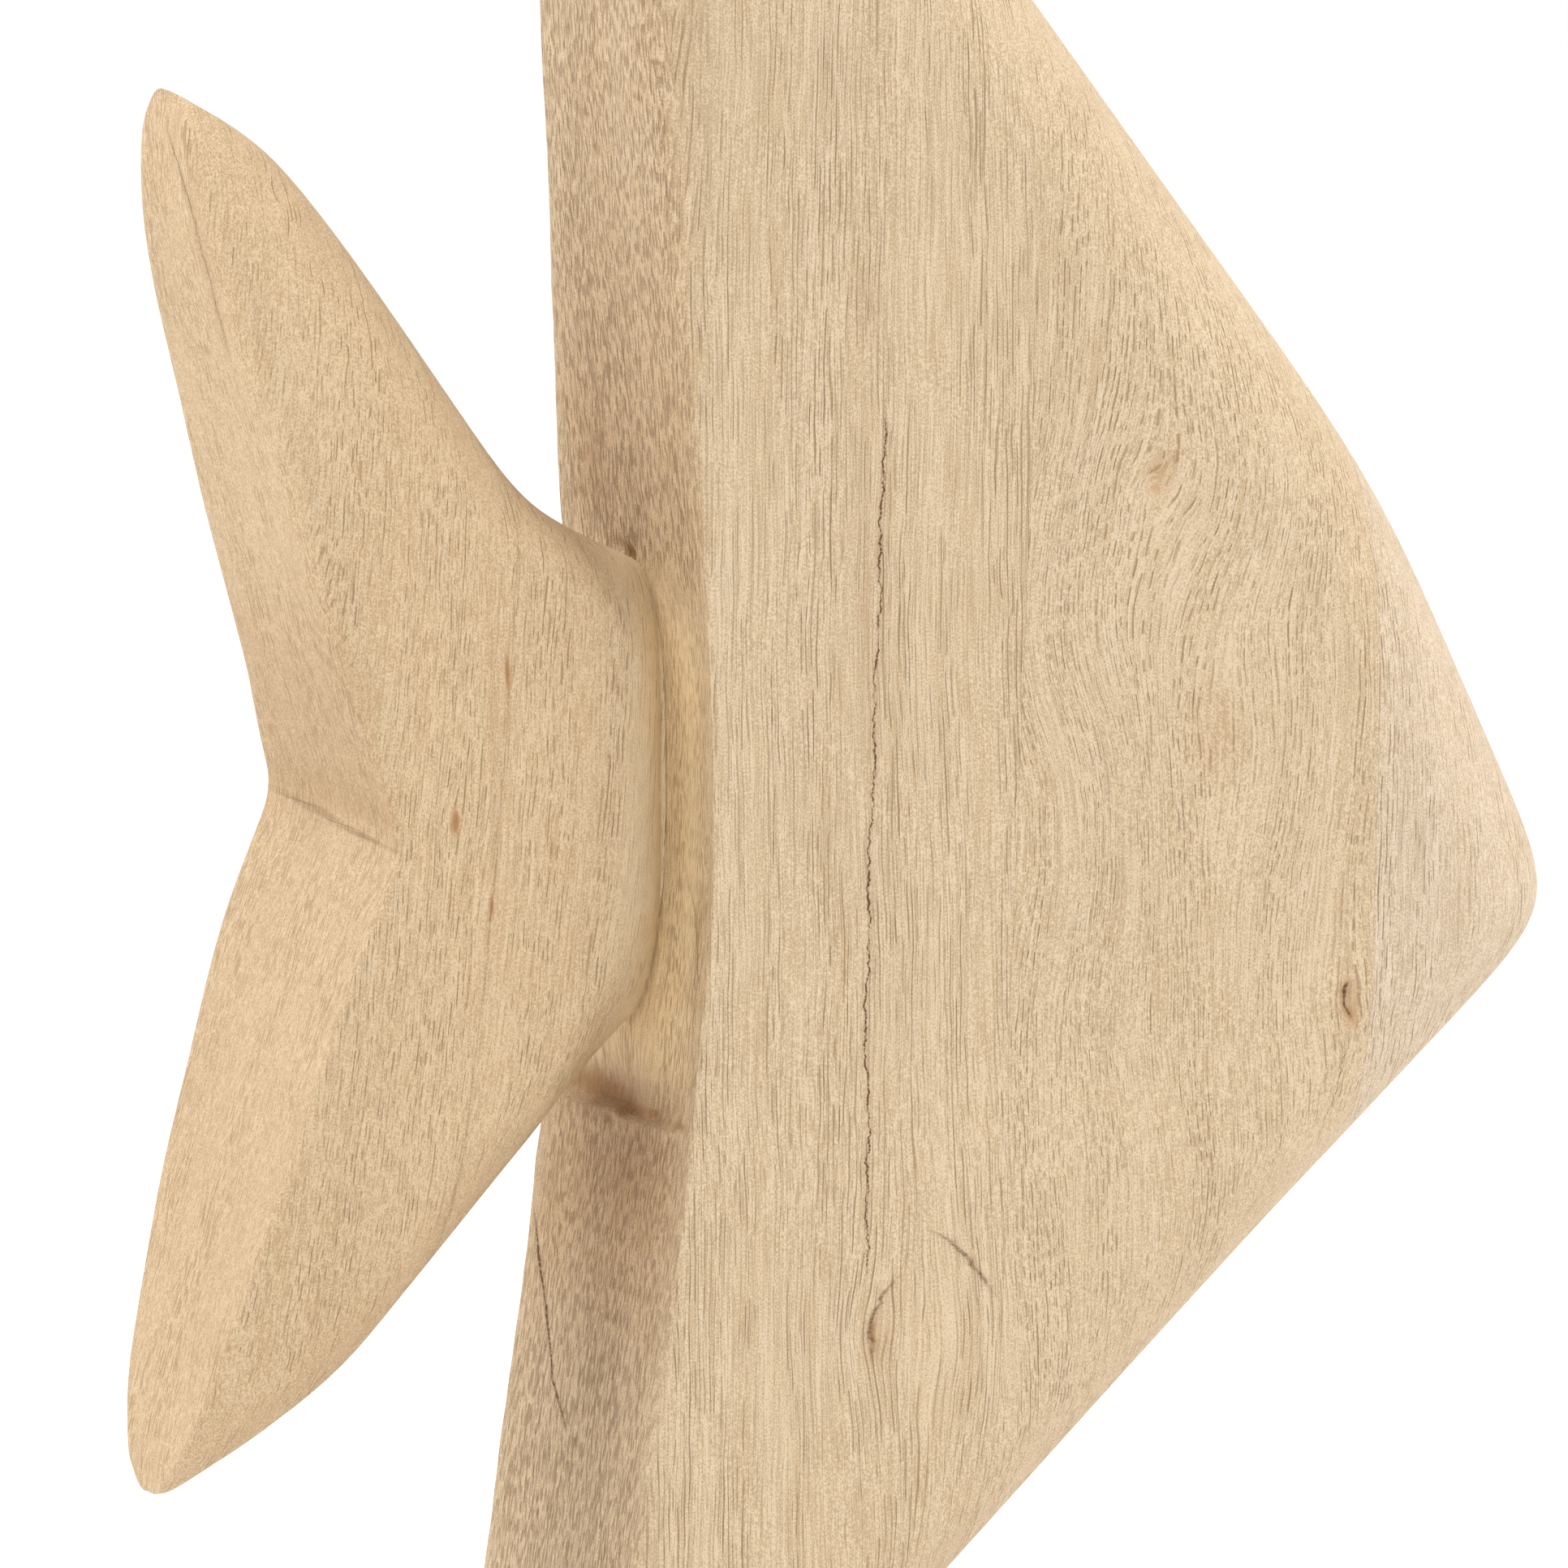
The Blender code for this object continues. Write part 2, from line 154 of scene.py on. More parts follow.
@dataclass(frozen=True)
class Knot:
    """Knot that the grain flows round."""

    x: float
    z: float
    reach: float              # radius of the grain's detour
    core: float               # radius of the darker heart
    dark: float = 0.5         # how dark the heart is
    rings: float = 0.4        # contrast of its rings
    dent: float = 0.25        # depth of the worn hollow
    stretch: float = 1.4      # length along the grain over width
    face: Face = Face.FRONT


@dataclass(frozen=True)
class Sweep:
    """Patch where the grain runs aslant, fading as exp(-(x / wide)^2 - (z / tall)^2)."""

    x: float
    z: float
    wide: float
    tall: float
    slope: float              # sideways run per millimetre of height at the centre


@dataclass(frozen=True)
class Stain:
    """Soft-edged patch of browner colour, a stain in the wood or painted shade, as exp(-(a /
    wide)^2 - (z / tall)^2).
    """

    a: float                  # x, or y on the tail-side face
    z: float
    wide: float
    tall: float
    strength: float
    face: Face = Face.FRONT


GLUE_REAR = GluePlane(35.2, 0.042)
GLUE_NOSE = GluePlane(114.8, 0.030)
GLUE_TAIL = GluePlane(-75.0, 0.107)
REAR_EDGE = Edge(((-230.0, -60.0, 0.0), (-95.0, -40.5, 50.0), (-20.0, -26.0, 50.0),
                  (60.0, -30.5, 50.0), (130.0, -42.0, 50.0), (230.0, -43.5, 0.0)))
MAIN_CHECK = Check(((-95.0, 1.0), (-57.5, 2.1), (-41.0, 1.9), (-1.0, 3.0), (23.5, 3.8),
                    (56.0, 5.1), (80.0, 5.7)), width=0.24, strength=1.0, broken=0.12)


@dataclass(frozen=True)
class BodyForm:
    """Shape of the body blank, in numbers shared by its three boards."""

    half: float = BODY_HALF
    swell: float = 1.8            # extra half thickness left on the lower fin
    edge_round: float = 30.0
    fin_top: float = 276.0
    fin_bottom: float = -246.0
    root_half: float = 11.0
    rear: Edge = REAR_EDGE
    front: Edge = Edge(((-230.0, -45.5, 0.0), (-48.0, 145.5, 44.0), (-35.5, 169.0, 17.0),
                        (-10.5, 153.5, 24.0), (54.0, 127.5, 25.0), (107.5, 85.5, 34.0),
                        (230.0, -6.5, 0.0)))

    def caps(self, z: Array, length: float) -> Array:
        """Falls from 1 to 0 as a quarter circle over the last length before each fin tip."""
        return quarter((self.fin_top - z) / length) * quarter((z - self.fin_bottom) / length)

    def ends(self, z: Array) -> tuple[Array, Array]:
        """Rear and front x at a height, drawn together at the fin tips."""
        rear, front = self.rear.x(z), self.front.x(z)
        lost = (front - rear) * (1.0 - self.caps(z, 14.0))
        return rear + 0.3 * lost, front - 0.7 * lost

    def corner(self, z: Array) -> Array:
        """Radius of the rear ridge: crisp beside the tail, worn round on the upper fin."""
        rear, front = self.ends(z)
        wanted = 1.0 + 10.0 * ramp(z, 50.0, 140.0) + 2.5 * ramp(-z, 75.0, 95.0)
        return np.minimum(wanted, 0.12 * (front - rear) + 1e-6)

    def thickness(self, x: Array, z: Array) -> Array:
        """Half thickness: flat stock, a full round on the front edges, an eased rear ridge.

        Args:
            x, z: positions along the fish, and heights that broadcast against them.

        Returns:
            Half thickness at each point, never below zero.
        """
        rear, front = self.ends(z)
        slope = self.front.x(z + 0.5) - self.front.x(z - 0.5)
        reach = np.minimum(self.edge_round * np.sqrt(1.0 + slope * slope),
                           0.85 * (front - rear) + 1e-6)
        thick = self.half * (1.0 - 0.3 * ramp(np.abs(z), 165.0, 275.0))
        thick = (thick + self.swell * ramp(-z, 50.0, 80.0)) * self.caps(z, 16.0)
        corner = np.minimum(self.corner(z), 0.6 * thick + 1e-6)
        eased = corner * (1.0 - quarter((x - rear) / corner))
        return np.maximum(thick * quarter((front - x) / reach) - eased, 0.0)

    def scoop(self, y: Array, z: Array) -> Array:
        """Depth gouged into the rear face beside and below the tail root.

        A sine hollow between the root and the ridge, closed by a torn ledge below that is
        tallest on the far side, with a round pit at the top of the root and gouge ripples.
        """
        ledge = -62.3 + 0.5 * np.sin(y / 4.9 + 0.4) + 0.2 * np.sin(y / 1.6) + 0.1 * np.sin(y * 1.7)
        window = ramp(z, ledge - 1.2, ledge + 0.8) * (1.0 - ramp(z, 36.0, 48.0))
        beside = np.clip((np.abs(y) - self.root_half) / (self.half - self.root_half), 0.0, 1.0)
        deep = 0.45 + 2.2 * ramp(y, -16.0, 2.0)
        below = (1.0 - ramp(z, -60.0, -46.0)) * np.clip((self.half - np.abs(y)) / 9.0, 0.0, 1.0)
        valley = 1.3 * np.sin(np.pi * beside ** 0.75)
        hollow = window * np.maximum(valley, deep * below)
        pit = 1.5 * np.exp(-((y - 2.7) ** 2 + (z - 47.0) ** 2) / 3.2)
        chip = 0.5 * np.exp(-((y - 5.0) / 6.0) ** 2 - ((z - 48.5) / 1.3) ** 2)
        ripple = 0.12 * window * np.sin(z / 3.7 + y / 5.0) * np.sin(np.pi * beside)
        return hollow + pit + chip + ripple

    def hand_work(self, points: Array) -> Array:
        """Slow waves left by sanding by hand: y swells by up to 0.35 mm, the rear face by 0.3.

        Args:
            points: grid of points in the fish frame, (rows, columns, 3).

        Returns:
            The grid moved.
        """
        x, y, z = points[..., 0], points[..., 1], points[..., 2]
        turn = np.where(y < 0.0, 0.0, 1.7)
        wave = (0.16 * np.sin(x / 17.0 + z / 61.0 + turn) + 0.12 * np.sin(z / 23.0 - x / 41.0)
                + 0.07 * np.sin(z / 9.7 + x / 13.0 + 2.0 * turn))
        sawn = (0.10 * np.sin(z / 6.1 + y / 30.0) + 0.12 * np.sin(z / 31.0 + y / 9.0)
                + 0.07 * np.sin(y / 3.1 + z / 47.0))
        at_root = (1.0 - ramp(np.abs(y), 15.0, 20.0)) * ramp(z, -56.0, -50.0)
        sawn = sawn * (1.0 - at_root * (1.0 - ramp(z, 44.0, 50.0)))
        near = np.exp(-np.maximum(x - self.rear.x(z), 0.0) / 5.0)
        nick = 0.16 * (np.sin(z / 2.3) * np.sin(z / 7.1 + 1.0) + np.sin(z / 17.0)) * near
        moved = points.copy()
        moved[..., 1] = y * (1.0 + (wave - nick) / self.half * np.clip(np.abs(y) / 12.0, 0.0, 1.0))
        moved[..., 0] = x + sawn * near * np.clip(1.0 - np.abs(x) / 400.0, 0.0, 1.0)
        return moved


@dataclass(frozen=True)
class TailForm:
    """Shape of the notched tail, shared by its two boards."""

    half: float = 30.5
    top: float = 146.5
    bottom: float = -130.5
    notch_lean: float = 0.065     # the notch crease drops towards the front face
    trailing: Edge = Edge((
        (-131.0, -140.0, 0.0), (-121.0, -138.0, 12.0), (-86.0, -128.5, 20.0),
        (-47.0, -115.5, 20.0), (-22.0, -108.5, 14.0), (-2.0, -99.0, 2.5), (3.0, -98.5, 2.5),
        (30.0, -107.5, 20.0), (80.0, -121.5, 24.0), (124.0, -136.5, 20.0),
        (146.0, -135.5, 0.0)))
    lobe_top: Edge = Edge((
        (40.0, -18.5, 0.0), (46.0, -29.5, 8.0), (58.0, -59.5, 8.0), (68.0, -65.0, 12.0),
        (95.0, -83.0, 20.0), (122.0, -102.0, 12.0), (136.0, -112.0, 8.0),
        (148.0, -134.5, 0.0)))
    lobe_low: Edge = Edge((
        (-131.0, -136.5, 0.0), (-119.0, -111.0, 8.0), (-107.0, -95.5, 8.0),
        (-97.0, -88.0, 8.0), (-70.0, -64.0, 20.0), (-45.0, -39.5, 8.0), (-35.0, -22.0, 0.0)))

    def ends(self, z: Array) -> tuple[Array, Array]:
        """Trailing and leading x at a height, leading edge free of the body."""
        back = self.trailing.x(z)
        lead = np.minimum(self.lobe_top.x(z), self.lobe_low.x(z))
        caps = quarter((self.top - z) / 9.0) * quarter((z - self.bottom) / 7.0)
        lost = (lead - back) * (1.0 - caps)
        return back + 0.4 * lost, lead - 0.6 * lost

    def corner(self, z: Array) -> Array:
        """Radius of the ridge along the trailing face: crisp below, worn on the upper lobe."""
        back, lead = self.ends(z)
        return np.minimum(1.5 + 5.5 * ramp(z, 5.0, 30.0), 0.2 * (lead - back) + 1e-6)

    def thickness(self, x: Array, z: Array) -> Array:
        """Half thickness: thick trailing edge, thin root, round outer edges.

        Args:
            x, z: positions along the fish, and heights that broadcast against them.

        Returns:
            Half thickness at each point, never below zero.
        """
        back, lead = self.ends(z)
        inward = np.minimum((self.lobe_top.x(z) - x) * 0.78, (self.lobe_low.x(z) - x) * 0.70)
        span = np.minimum(18.0 + 20.0 * ramp(x, -62.0, -34.0), 0.7 * (lead - back) + 1e-6)
        tip = np.where(z > 0.0, self.top, self.bottom)
        taper = np.maximum(1.0 - (z / tip) ** 2, 0.0) ** 0.42
        fall = 0.17 * np.maximum(x + 98.0, 0.0)
        roll = 7.8 * np.clip((x + 47.0) / 14.5, 0.0, 1.0) ** 2.2
        thick = (self.half - fall - roll) * taper
        corner = np.minimum(self.corner(z), 0.6 * taper * self.half + 1e-6)
        eased = corner * (1.0 - quarter((x - back) / corner))
        return np.maximum(thick * quarter(inward / span) - eased, 0.0)

    def hand_work(self, points: Array) -> Array:
        """Leans the notch crease across the thickness and adds slow sanding waves.

        Args:
            points: grid of points in the fish frame, (rows, columns, 3).

        Returns:
            The grid moved.
        """
        x, y, z = points[..., 0], points[..., 1], points[..., 2]
        turn = np.where(y < 0.0, 0.6, 2.1)
        wave = (0.18 * np.sin(x / 15.0 + z / 47.0 + turn) + 0.14 * np.sin(z / 19.0 - x / 37.0)
                + 0.06 * np.sin(z / 8.3 + x / 11.0))
        away = np.exp(-np.maximum(x - self.trailing.x(z), 0.0) / 9.0)
        inside = ramp(z, self.bottom + 4.0, self.bottom + 24.0)
        inside = inside * (1.0 - ramp(z, self.top - 24.0, self.top - 4.0))
        shift = self.trailing.x(z - self.notch_lean * y) - self.trailing.x(z)
        facet = 0.14 * np.sin(z / 7.0 + y / 11.0) + 0.12 * np.sin(y / 4.7 + z / 29.0)
        moved = points.copy()
        moved[..., 1] = y * (1.0 + wave / self.half * np.clip(np.abs(y) / 10.0, 0.0, 1.0))
        moved[..., 0] = x + (shift + facet) * away * inside
        return moved


# ---------------------------------------------------------------- mesh helpers


def heights_between(low: float, high: float, count: int,
                    extra: Sequence[tuple[float, float, int]] = ()) -> Array:
    """Heights from low to high, closer at the ends and in the extra bands.

    Args:
        low, high: the lowest and the highest.
        count: rows of the main run.
        extra: (from, to, rows) bands of added rows.

    Returns:
        Sorted heights.
    """
    t = np.linspace(0.0, 1.0, count)
    main = low + (high - low) * (0.55 * t + 0.45 * (0.5 - 0.5 * np.cos(np.pi * t)))
    close = (high - low) * 0.02 * np.linspace(0.0, 1.0, 14) ** 2
    bands = [np.linspace(a, b, n) for a, b, n in extra]
    rows = np.unique(np.concatenate([main, low + close, high - close, *bands]).round(3))
    return rows[(rows >= low) & (rows <= high)]


def run_between(start: Array, end: Array, count: int, ease: float = 0.0) -> Array:
    """Columns from start to end in each row, crowded towards the end where ease is 1.

    Args:
        start, end: (rows, 1) first and last positions.
        count: number of columns, the last one at end and the first one left out.
        ease: how much the columns crowd.

    Returns:
        (rows, count) positions.
    """
    t = np.linspace(0.0, 1.0, count + 1)[1:]
    t = (1.0 - ease) * t + ease * np.sin(0.5 * np.pi * t)
    return start + (end - start) * t


def tube_faces(rows: int, columns: int) -> list[tuple[int, ...]]:
    """Quads of a grid that closes on itself across its columns, with a fan at each end.

    Args:
        rows, columns: loops, and points of each; the two poles follow the grid's vertices.

    Returns:
        Vertex numbers of each face.
    """
    index = np.arange(rows * columns).reshape(rows, columns)
    after = np.roll(index, -1, axis=1)
    quads = np.stack([index[:-1], after[:-1], after[1:], index[1:]], axis=-1).reshape(-1, 4)
    low = np.stack([after[0], index[0], np.full(columns, rows * columns)], axis=-1)
    high = np.stack([index[-1], after[-1], np.full(columns, rows * columns + 1)], axis=-1)
    return [*map(tuple, quads.tolist()), *map(tuple, low.tolist()), *map(tuple, high.tolist())]


def add_object(name: str, data: bpy.types.ID) -> bpy.types.Object:
    """Object with some data, linked to the scene."""
    obj = bpy.data.objects.new(name, data)
    bpy.context.scene.collection.objects.link(obj)
    return obj


def solid_from_grid(name: str, grid: Array, poles: Optional[tuple[Array, Array]] = None,
                    merge: float = 2e-6, crease: float = 38.0) -> bpy.types.Object:
    """Closed object from loops of points, welded and shaded.

    Args:
        name: name of the piece.
        grid: (rows, columns, 3) fish-frame points.
        poles: the two end points, or None for the middles of the end loops.
        merge: welding distance in metres.
        crease: angle in degrees above which an edge stays sharp.

    Returns:
        The object, linked to the scene.
    """
    rows, columns = grid.shape[:2]
    ends = poles or (grid[0].mean(axis=0), grid[-1].mean(axis=0))
    points = to_row(np.concatenate([grid.reshape(-1, 3), np.stack(ends)]))
    mesh = bpy.data.meshes.new(name)
    mesh.from_pydata(points.tolist(), [], tube_faces(rows, columns))
    weld(mesh, merge)
    mesh.shade_smooth()
    mesh.set_sharp_from_angle(angle=math.radians(crease))
    return add_object(name, mesh)


def weld(mesh: bpy.types.Mesh, merge: float) -> None:
    """Merge doubled points, drop slivers and turn every face outwards."""
    work = bmesh.new()
    work.from_mesh(mesh)
    bmesh.ops.remove_doubles(work, verts=work.verts[:], dist=merge)
    bmesh.ops.dissolve_degenerate(work, edges=work.edges[:], dist=merge)
    bmesh.ops.recalc_face_normals(work, faces=work.faces[:])
    work.to_mesh(mesh)
    work.free()


# ---------------------------------------------------------------- shader helpers

Value = Union["Num", float, int]


def _operator(kind: str, reflected: bool = False) -> Callable[["Num", Value], "Num"]:
    """Operator that adds one Math node, with its two values swapped when reflected."""
    def apply(self: "Num", other: Value) -> "Num":
        """The node's output."""
        return self.math(kind, *((other, self) if reflected else (self, other)))
    return apply


def _function(kind: str) -> Callable[["Num"], "Num"]:
    """Function of one number that adds one Math node."""
    return lambda self: self.math(kind, self)


class Num:
    """Number socket of a shader, with Python arithmetic."""

    __add__, __radd__ = _operator("ADD"), _operator("ADD", True)
    __sub__, __rsub__ = _operator("SUBTRACT"), _operator("SUBTRACT", True)
    __mul__, __rmul__ = _operator("MULTIPLY"), _operator("MULTIPLY", True)
    __truediv__, __rtruediv__ = _operator("DIVIDE"), _operator("DIVIDE", True)
    __pow__ = _operator("POWER")
    at_least, at_most = _operator("MAXIMUM"), _operator("MINIMUM")
    __abs__, sine, exp, root = map(_function, ("ABSOLUTE", "SINE", "EXPONENT", "SQRT"))

    def __init__(self, sheet: "Sheet", socket: bpy.types.NodeSocket) -> None:
        """Wrap a socket of a sheet."""
        self.sheet = sheet
        self.socket = socket

    def math(self, operation: str, *values: Value) -> "Num":
        """One Math node on some values."""
        node = self.sheet.node("ShaderNodeMath", {"operation": operation},
                               dict(enumerate(values)))
        return Num(self.sheet, node.outputs[0])

    def __neg__(self) -> "Num":
        """Negative."""
        return self * -1.0

    def zigzag(self) -> "Num":
        """Distance to the nearest whole number."""
        return self.math("PINGPONG", self + 1000.0, 0.5)

    def step(self, start: float, end: float) -> "Num":
        """Smooth step from 0 at start to 1 at end; the ends may come in falling order."""
        low, high = sorted((start, end))
        rising = float(start < end)
        node = self.sheet.node("ShaderNodeMapRange", {"interpolation_type": "SMOOTHSTEP"},
                               {"Value": self, "From Min": low, "From Max": high,
                                "To Min": 1.0 - rising, "To Max": rising})
        return Num(self.sheet, node.outputs[0])

    def through(self, points: Sequence[tuple[float, float]]) -> "Num":
        """Straight runs through (input, output) points, as one curve node.

        Args:
            points: inputs in rising order with their outputs.

        Returns:
            The output, held at its end values outside the points.
        """
        first, last = points[0][0], points[-1][0]
        low = min(p[1] for p in points) - 1.0
        high = max(p[1] for p in points) + 1.0
        scaled = [((a - first) / (last - first), (b - low) / (high - low)) for a, b in points]
        share = (self - first) / (last - first)
        node = self.sheet.node("ShaderNodeFloatCurve", {"curve": scaled}, {"Value": share})
        return Num(self.sheet, node.outputs[0]) * (high - low) + low


class Sheet:
    """One material's node tree and the single way nodes are added to it."""

    def __init__(self, name: str) -> None:
        """Start a material with a Principled shader and nothing else."""
        self.material = bpy.data.materials.new(name)
        self.material.use_nodes = True
        self.tree = self.material.node_tree
        self.shader = self.tree.nodes["Principled BSDF"]

    def node(self, kind: str, settings: Optional[dict] = None,
             inputs: Optional[dict] = None) -> bpy.types.Node:
        """Add a node.

        Args:
            kind: node type.
            settings: properties set first; "curve" fills a curve.
            inputs: socket name or number to a value, a Num or a socket.

        Returns:
            The node.
        """
        made = self.tree.nodes.new(kind)
        for key, value in (settings or {}).items():
            if key == "curve":
                self._fill_curve(made, value)
            else:
                setattr(made, key, value)
        for key, value in (inputs or {}).items():
            self.feed(made.inputs[key], value)
        return made

    @staticmethod
    def _fill_curve(made: bpy.types.Node, points: Sequence[tuple[float, float]]) -> None:
        """Put straight-run points on a curve node."""
        curve = made.mapping.curves[0]
        while len(curve.points) < len(points):
            curve.points.new(0.5, 0.5)
        for handle, (a, b) in zip(curve.points, points):
            handle.location = (a, b)
            handle.handle_type = "VECTOR"
        made.mapping.update()

    def feed(self, socket: bpy.types.NodeSocket, value: object) -> None:
        """Set a socket from a number or colour, or link it."""
        value = value.socket if isinstance(value, Num) else value
        if isinstance(value, bpy.types.NodeSocket):
            self.tree.links.new(value, socket)
        else:
            socket.default_value = value

    def parts(self, vector: bpy.types.NodeSocket) -> tuple[Num, Num, Num]:
        """The three numbers of a vector."""
        split = self.node("ShaderNodeSeparateXYZ", None, {0: vector})
        return tuple(Num(self, socket) for socket in split.outputs)

    def place(self) -> tuple[Num, Num, Num]:
        """Fish-frame millimetres of the shaded point, from Object coordinates."""
        there = self.node("ShaderNodeTexCoord").outputs["Object"]
        return self.parts(self.node("ShaderNodeMapping", None, {
            "Vector": there, "Location": (MIDDLE_X, 0.0, FLOOR),
            "Scale": (1000.0, 1000.0, 1000.0)}).outputs[0])

    def tailward(self) -> Num:
        """How squarely the surface faces the tail: 1 straight at it, -1 away from it."""
        return -self.parts(self.node("ShaderNodeNewGeometry").outputs["Normal"])[0]

    def noise(self, x: Value, y: Value, z: Value, detail: float = 0.0,
              rough: float = 0.5, twist: float = 0.0) -> Num:
        """Smooth noise around 0.5 at a point whose unit is one noise cell.

        Args:
            x, y, z: the point.
            detail: finer octaves.
            rough: share of the finer octaves.
            twist: distortion.

        Returns:
            The noise value.
        """
        spot = self.node("ShaderNodeCombineXYZ", None, {0: x, 1: y, 2: z}).outputs[0]
        made = self.node("ShaderNodeTexNoise", {"noise_dimensions": "3D"}, {
            "Vector": spot, "Scale": 1.0, "Detail": detail, "Roughness": rough,
            "Distortion": twist})
        return Num(self, made.outputs["Fac"])

    def mix(self, share: Value, first: object, second: object) -> bpy.types.NodeSocket:
        """Colour between two colours."""
        made = self.node("ShaderNodeMix", {"data_type": "RGBA"})
        self.feed(made.inputs[0], share)
        self.feed(made.inputs[6], first)
        self.feed(made.inputs[7], second)
        return made.outputs[2]

    def finish(self, colour: object, roughness: object, height: Optional[Num] = None,
               depth: float = 0.0) -> bpy.types.Material:
        """Send the looks to the shader.

        Args:
            colour: base colour.
            roughness: number or socket.
            height: relief from 0 to 1, or None for a smooth surface.
            depth: metres that a height of 1 stands for.

        Returns:
            The material.
        """
        self.feed(self.shader.inputs["Base Color"], colour)
        self.feed(self.shader.inputs["Roughness"], roughness)
        if height is not None:
            made = self.node("ShaderNodeBump", None, {
                "Height": height, "Distance": depth, "Strength": 1.0})
            self.feed(self.shader.inputs["Normal"], made.outputs[0])
        return self.material


def tint(red: int, green: int, blue: int) -> tuple[float, float, float, float]:
    """Colour from its everyday 0 to 255 numbers, as the shader's linear light."""
    shares = np.array([red, green, blue]) / 255.0
    curved = ((shares + 0.055) / 1.055) ** 2.4
    linear = np.where(shares <= 0.04045, shares / 12.92, curved)
    return (*linear.tolist(), 1.0)


# ---------------------------------------------------------------- finishes


@dataclass(frozen=True)
class Spot:
    """Shaded point: its sheet, fish-frame millimetres and how squarely it faces the tail."""

    sheet: Sheet
    x: Num
    y: Num
    z: Num
    tailward: Num

    def from_ridge(self, start: float, end: float) -> Num:
        """Step over the distance in from the nearer ridge of the body's rear face."""
        return (BODY_HALF - abs(self.y)).step(start, end)

    def on(self, face: Face) -> tuple[Num, Num]:
        """Where a feature is measured, x or y, and the mask of the face it lies on."""
        if face is Face.TAIL_SIDE:
            return self.y, self.tailward.step(0.45, 0.8)
        if face is Face.HOLLOW:
            return self.y, (-self.x).step(25.0, 28.0)
        return self.x, (-self.y if face is Face.FRONT else self.y).step(0.0, 4.0)


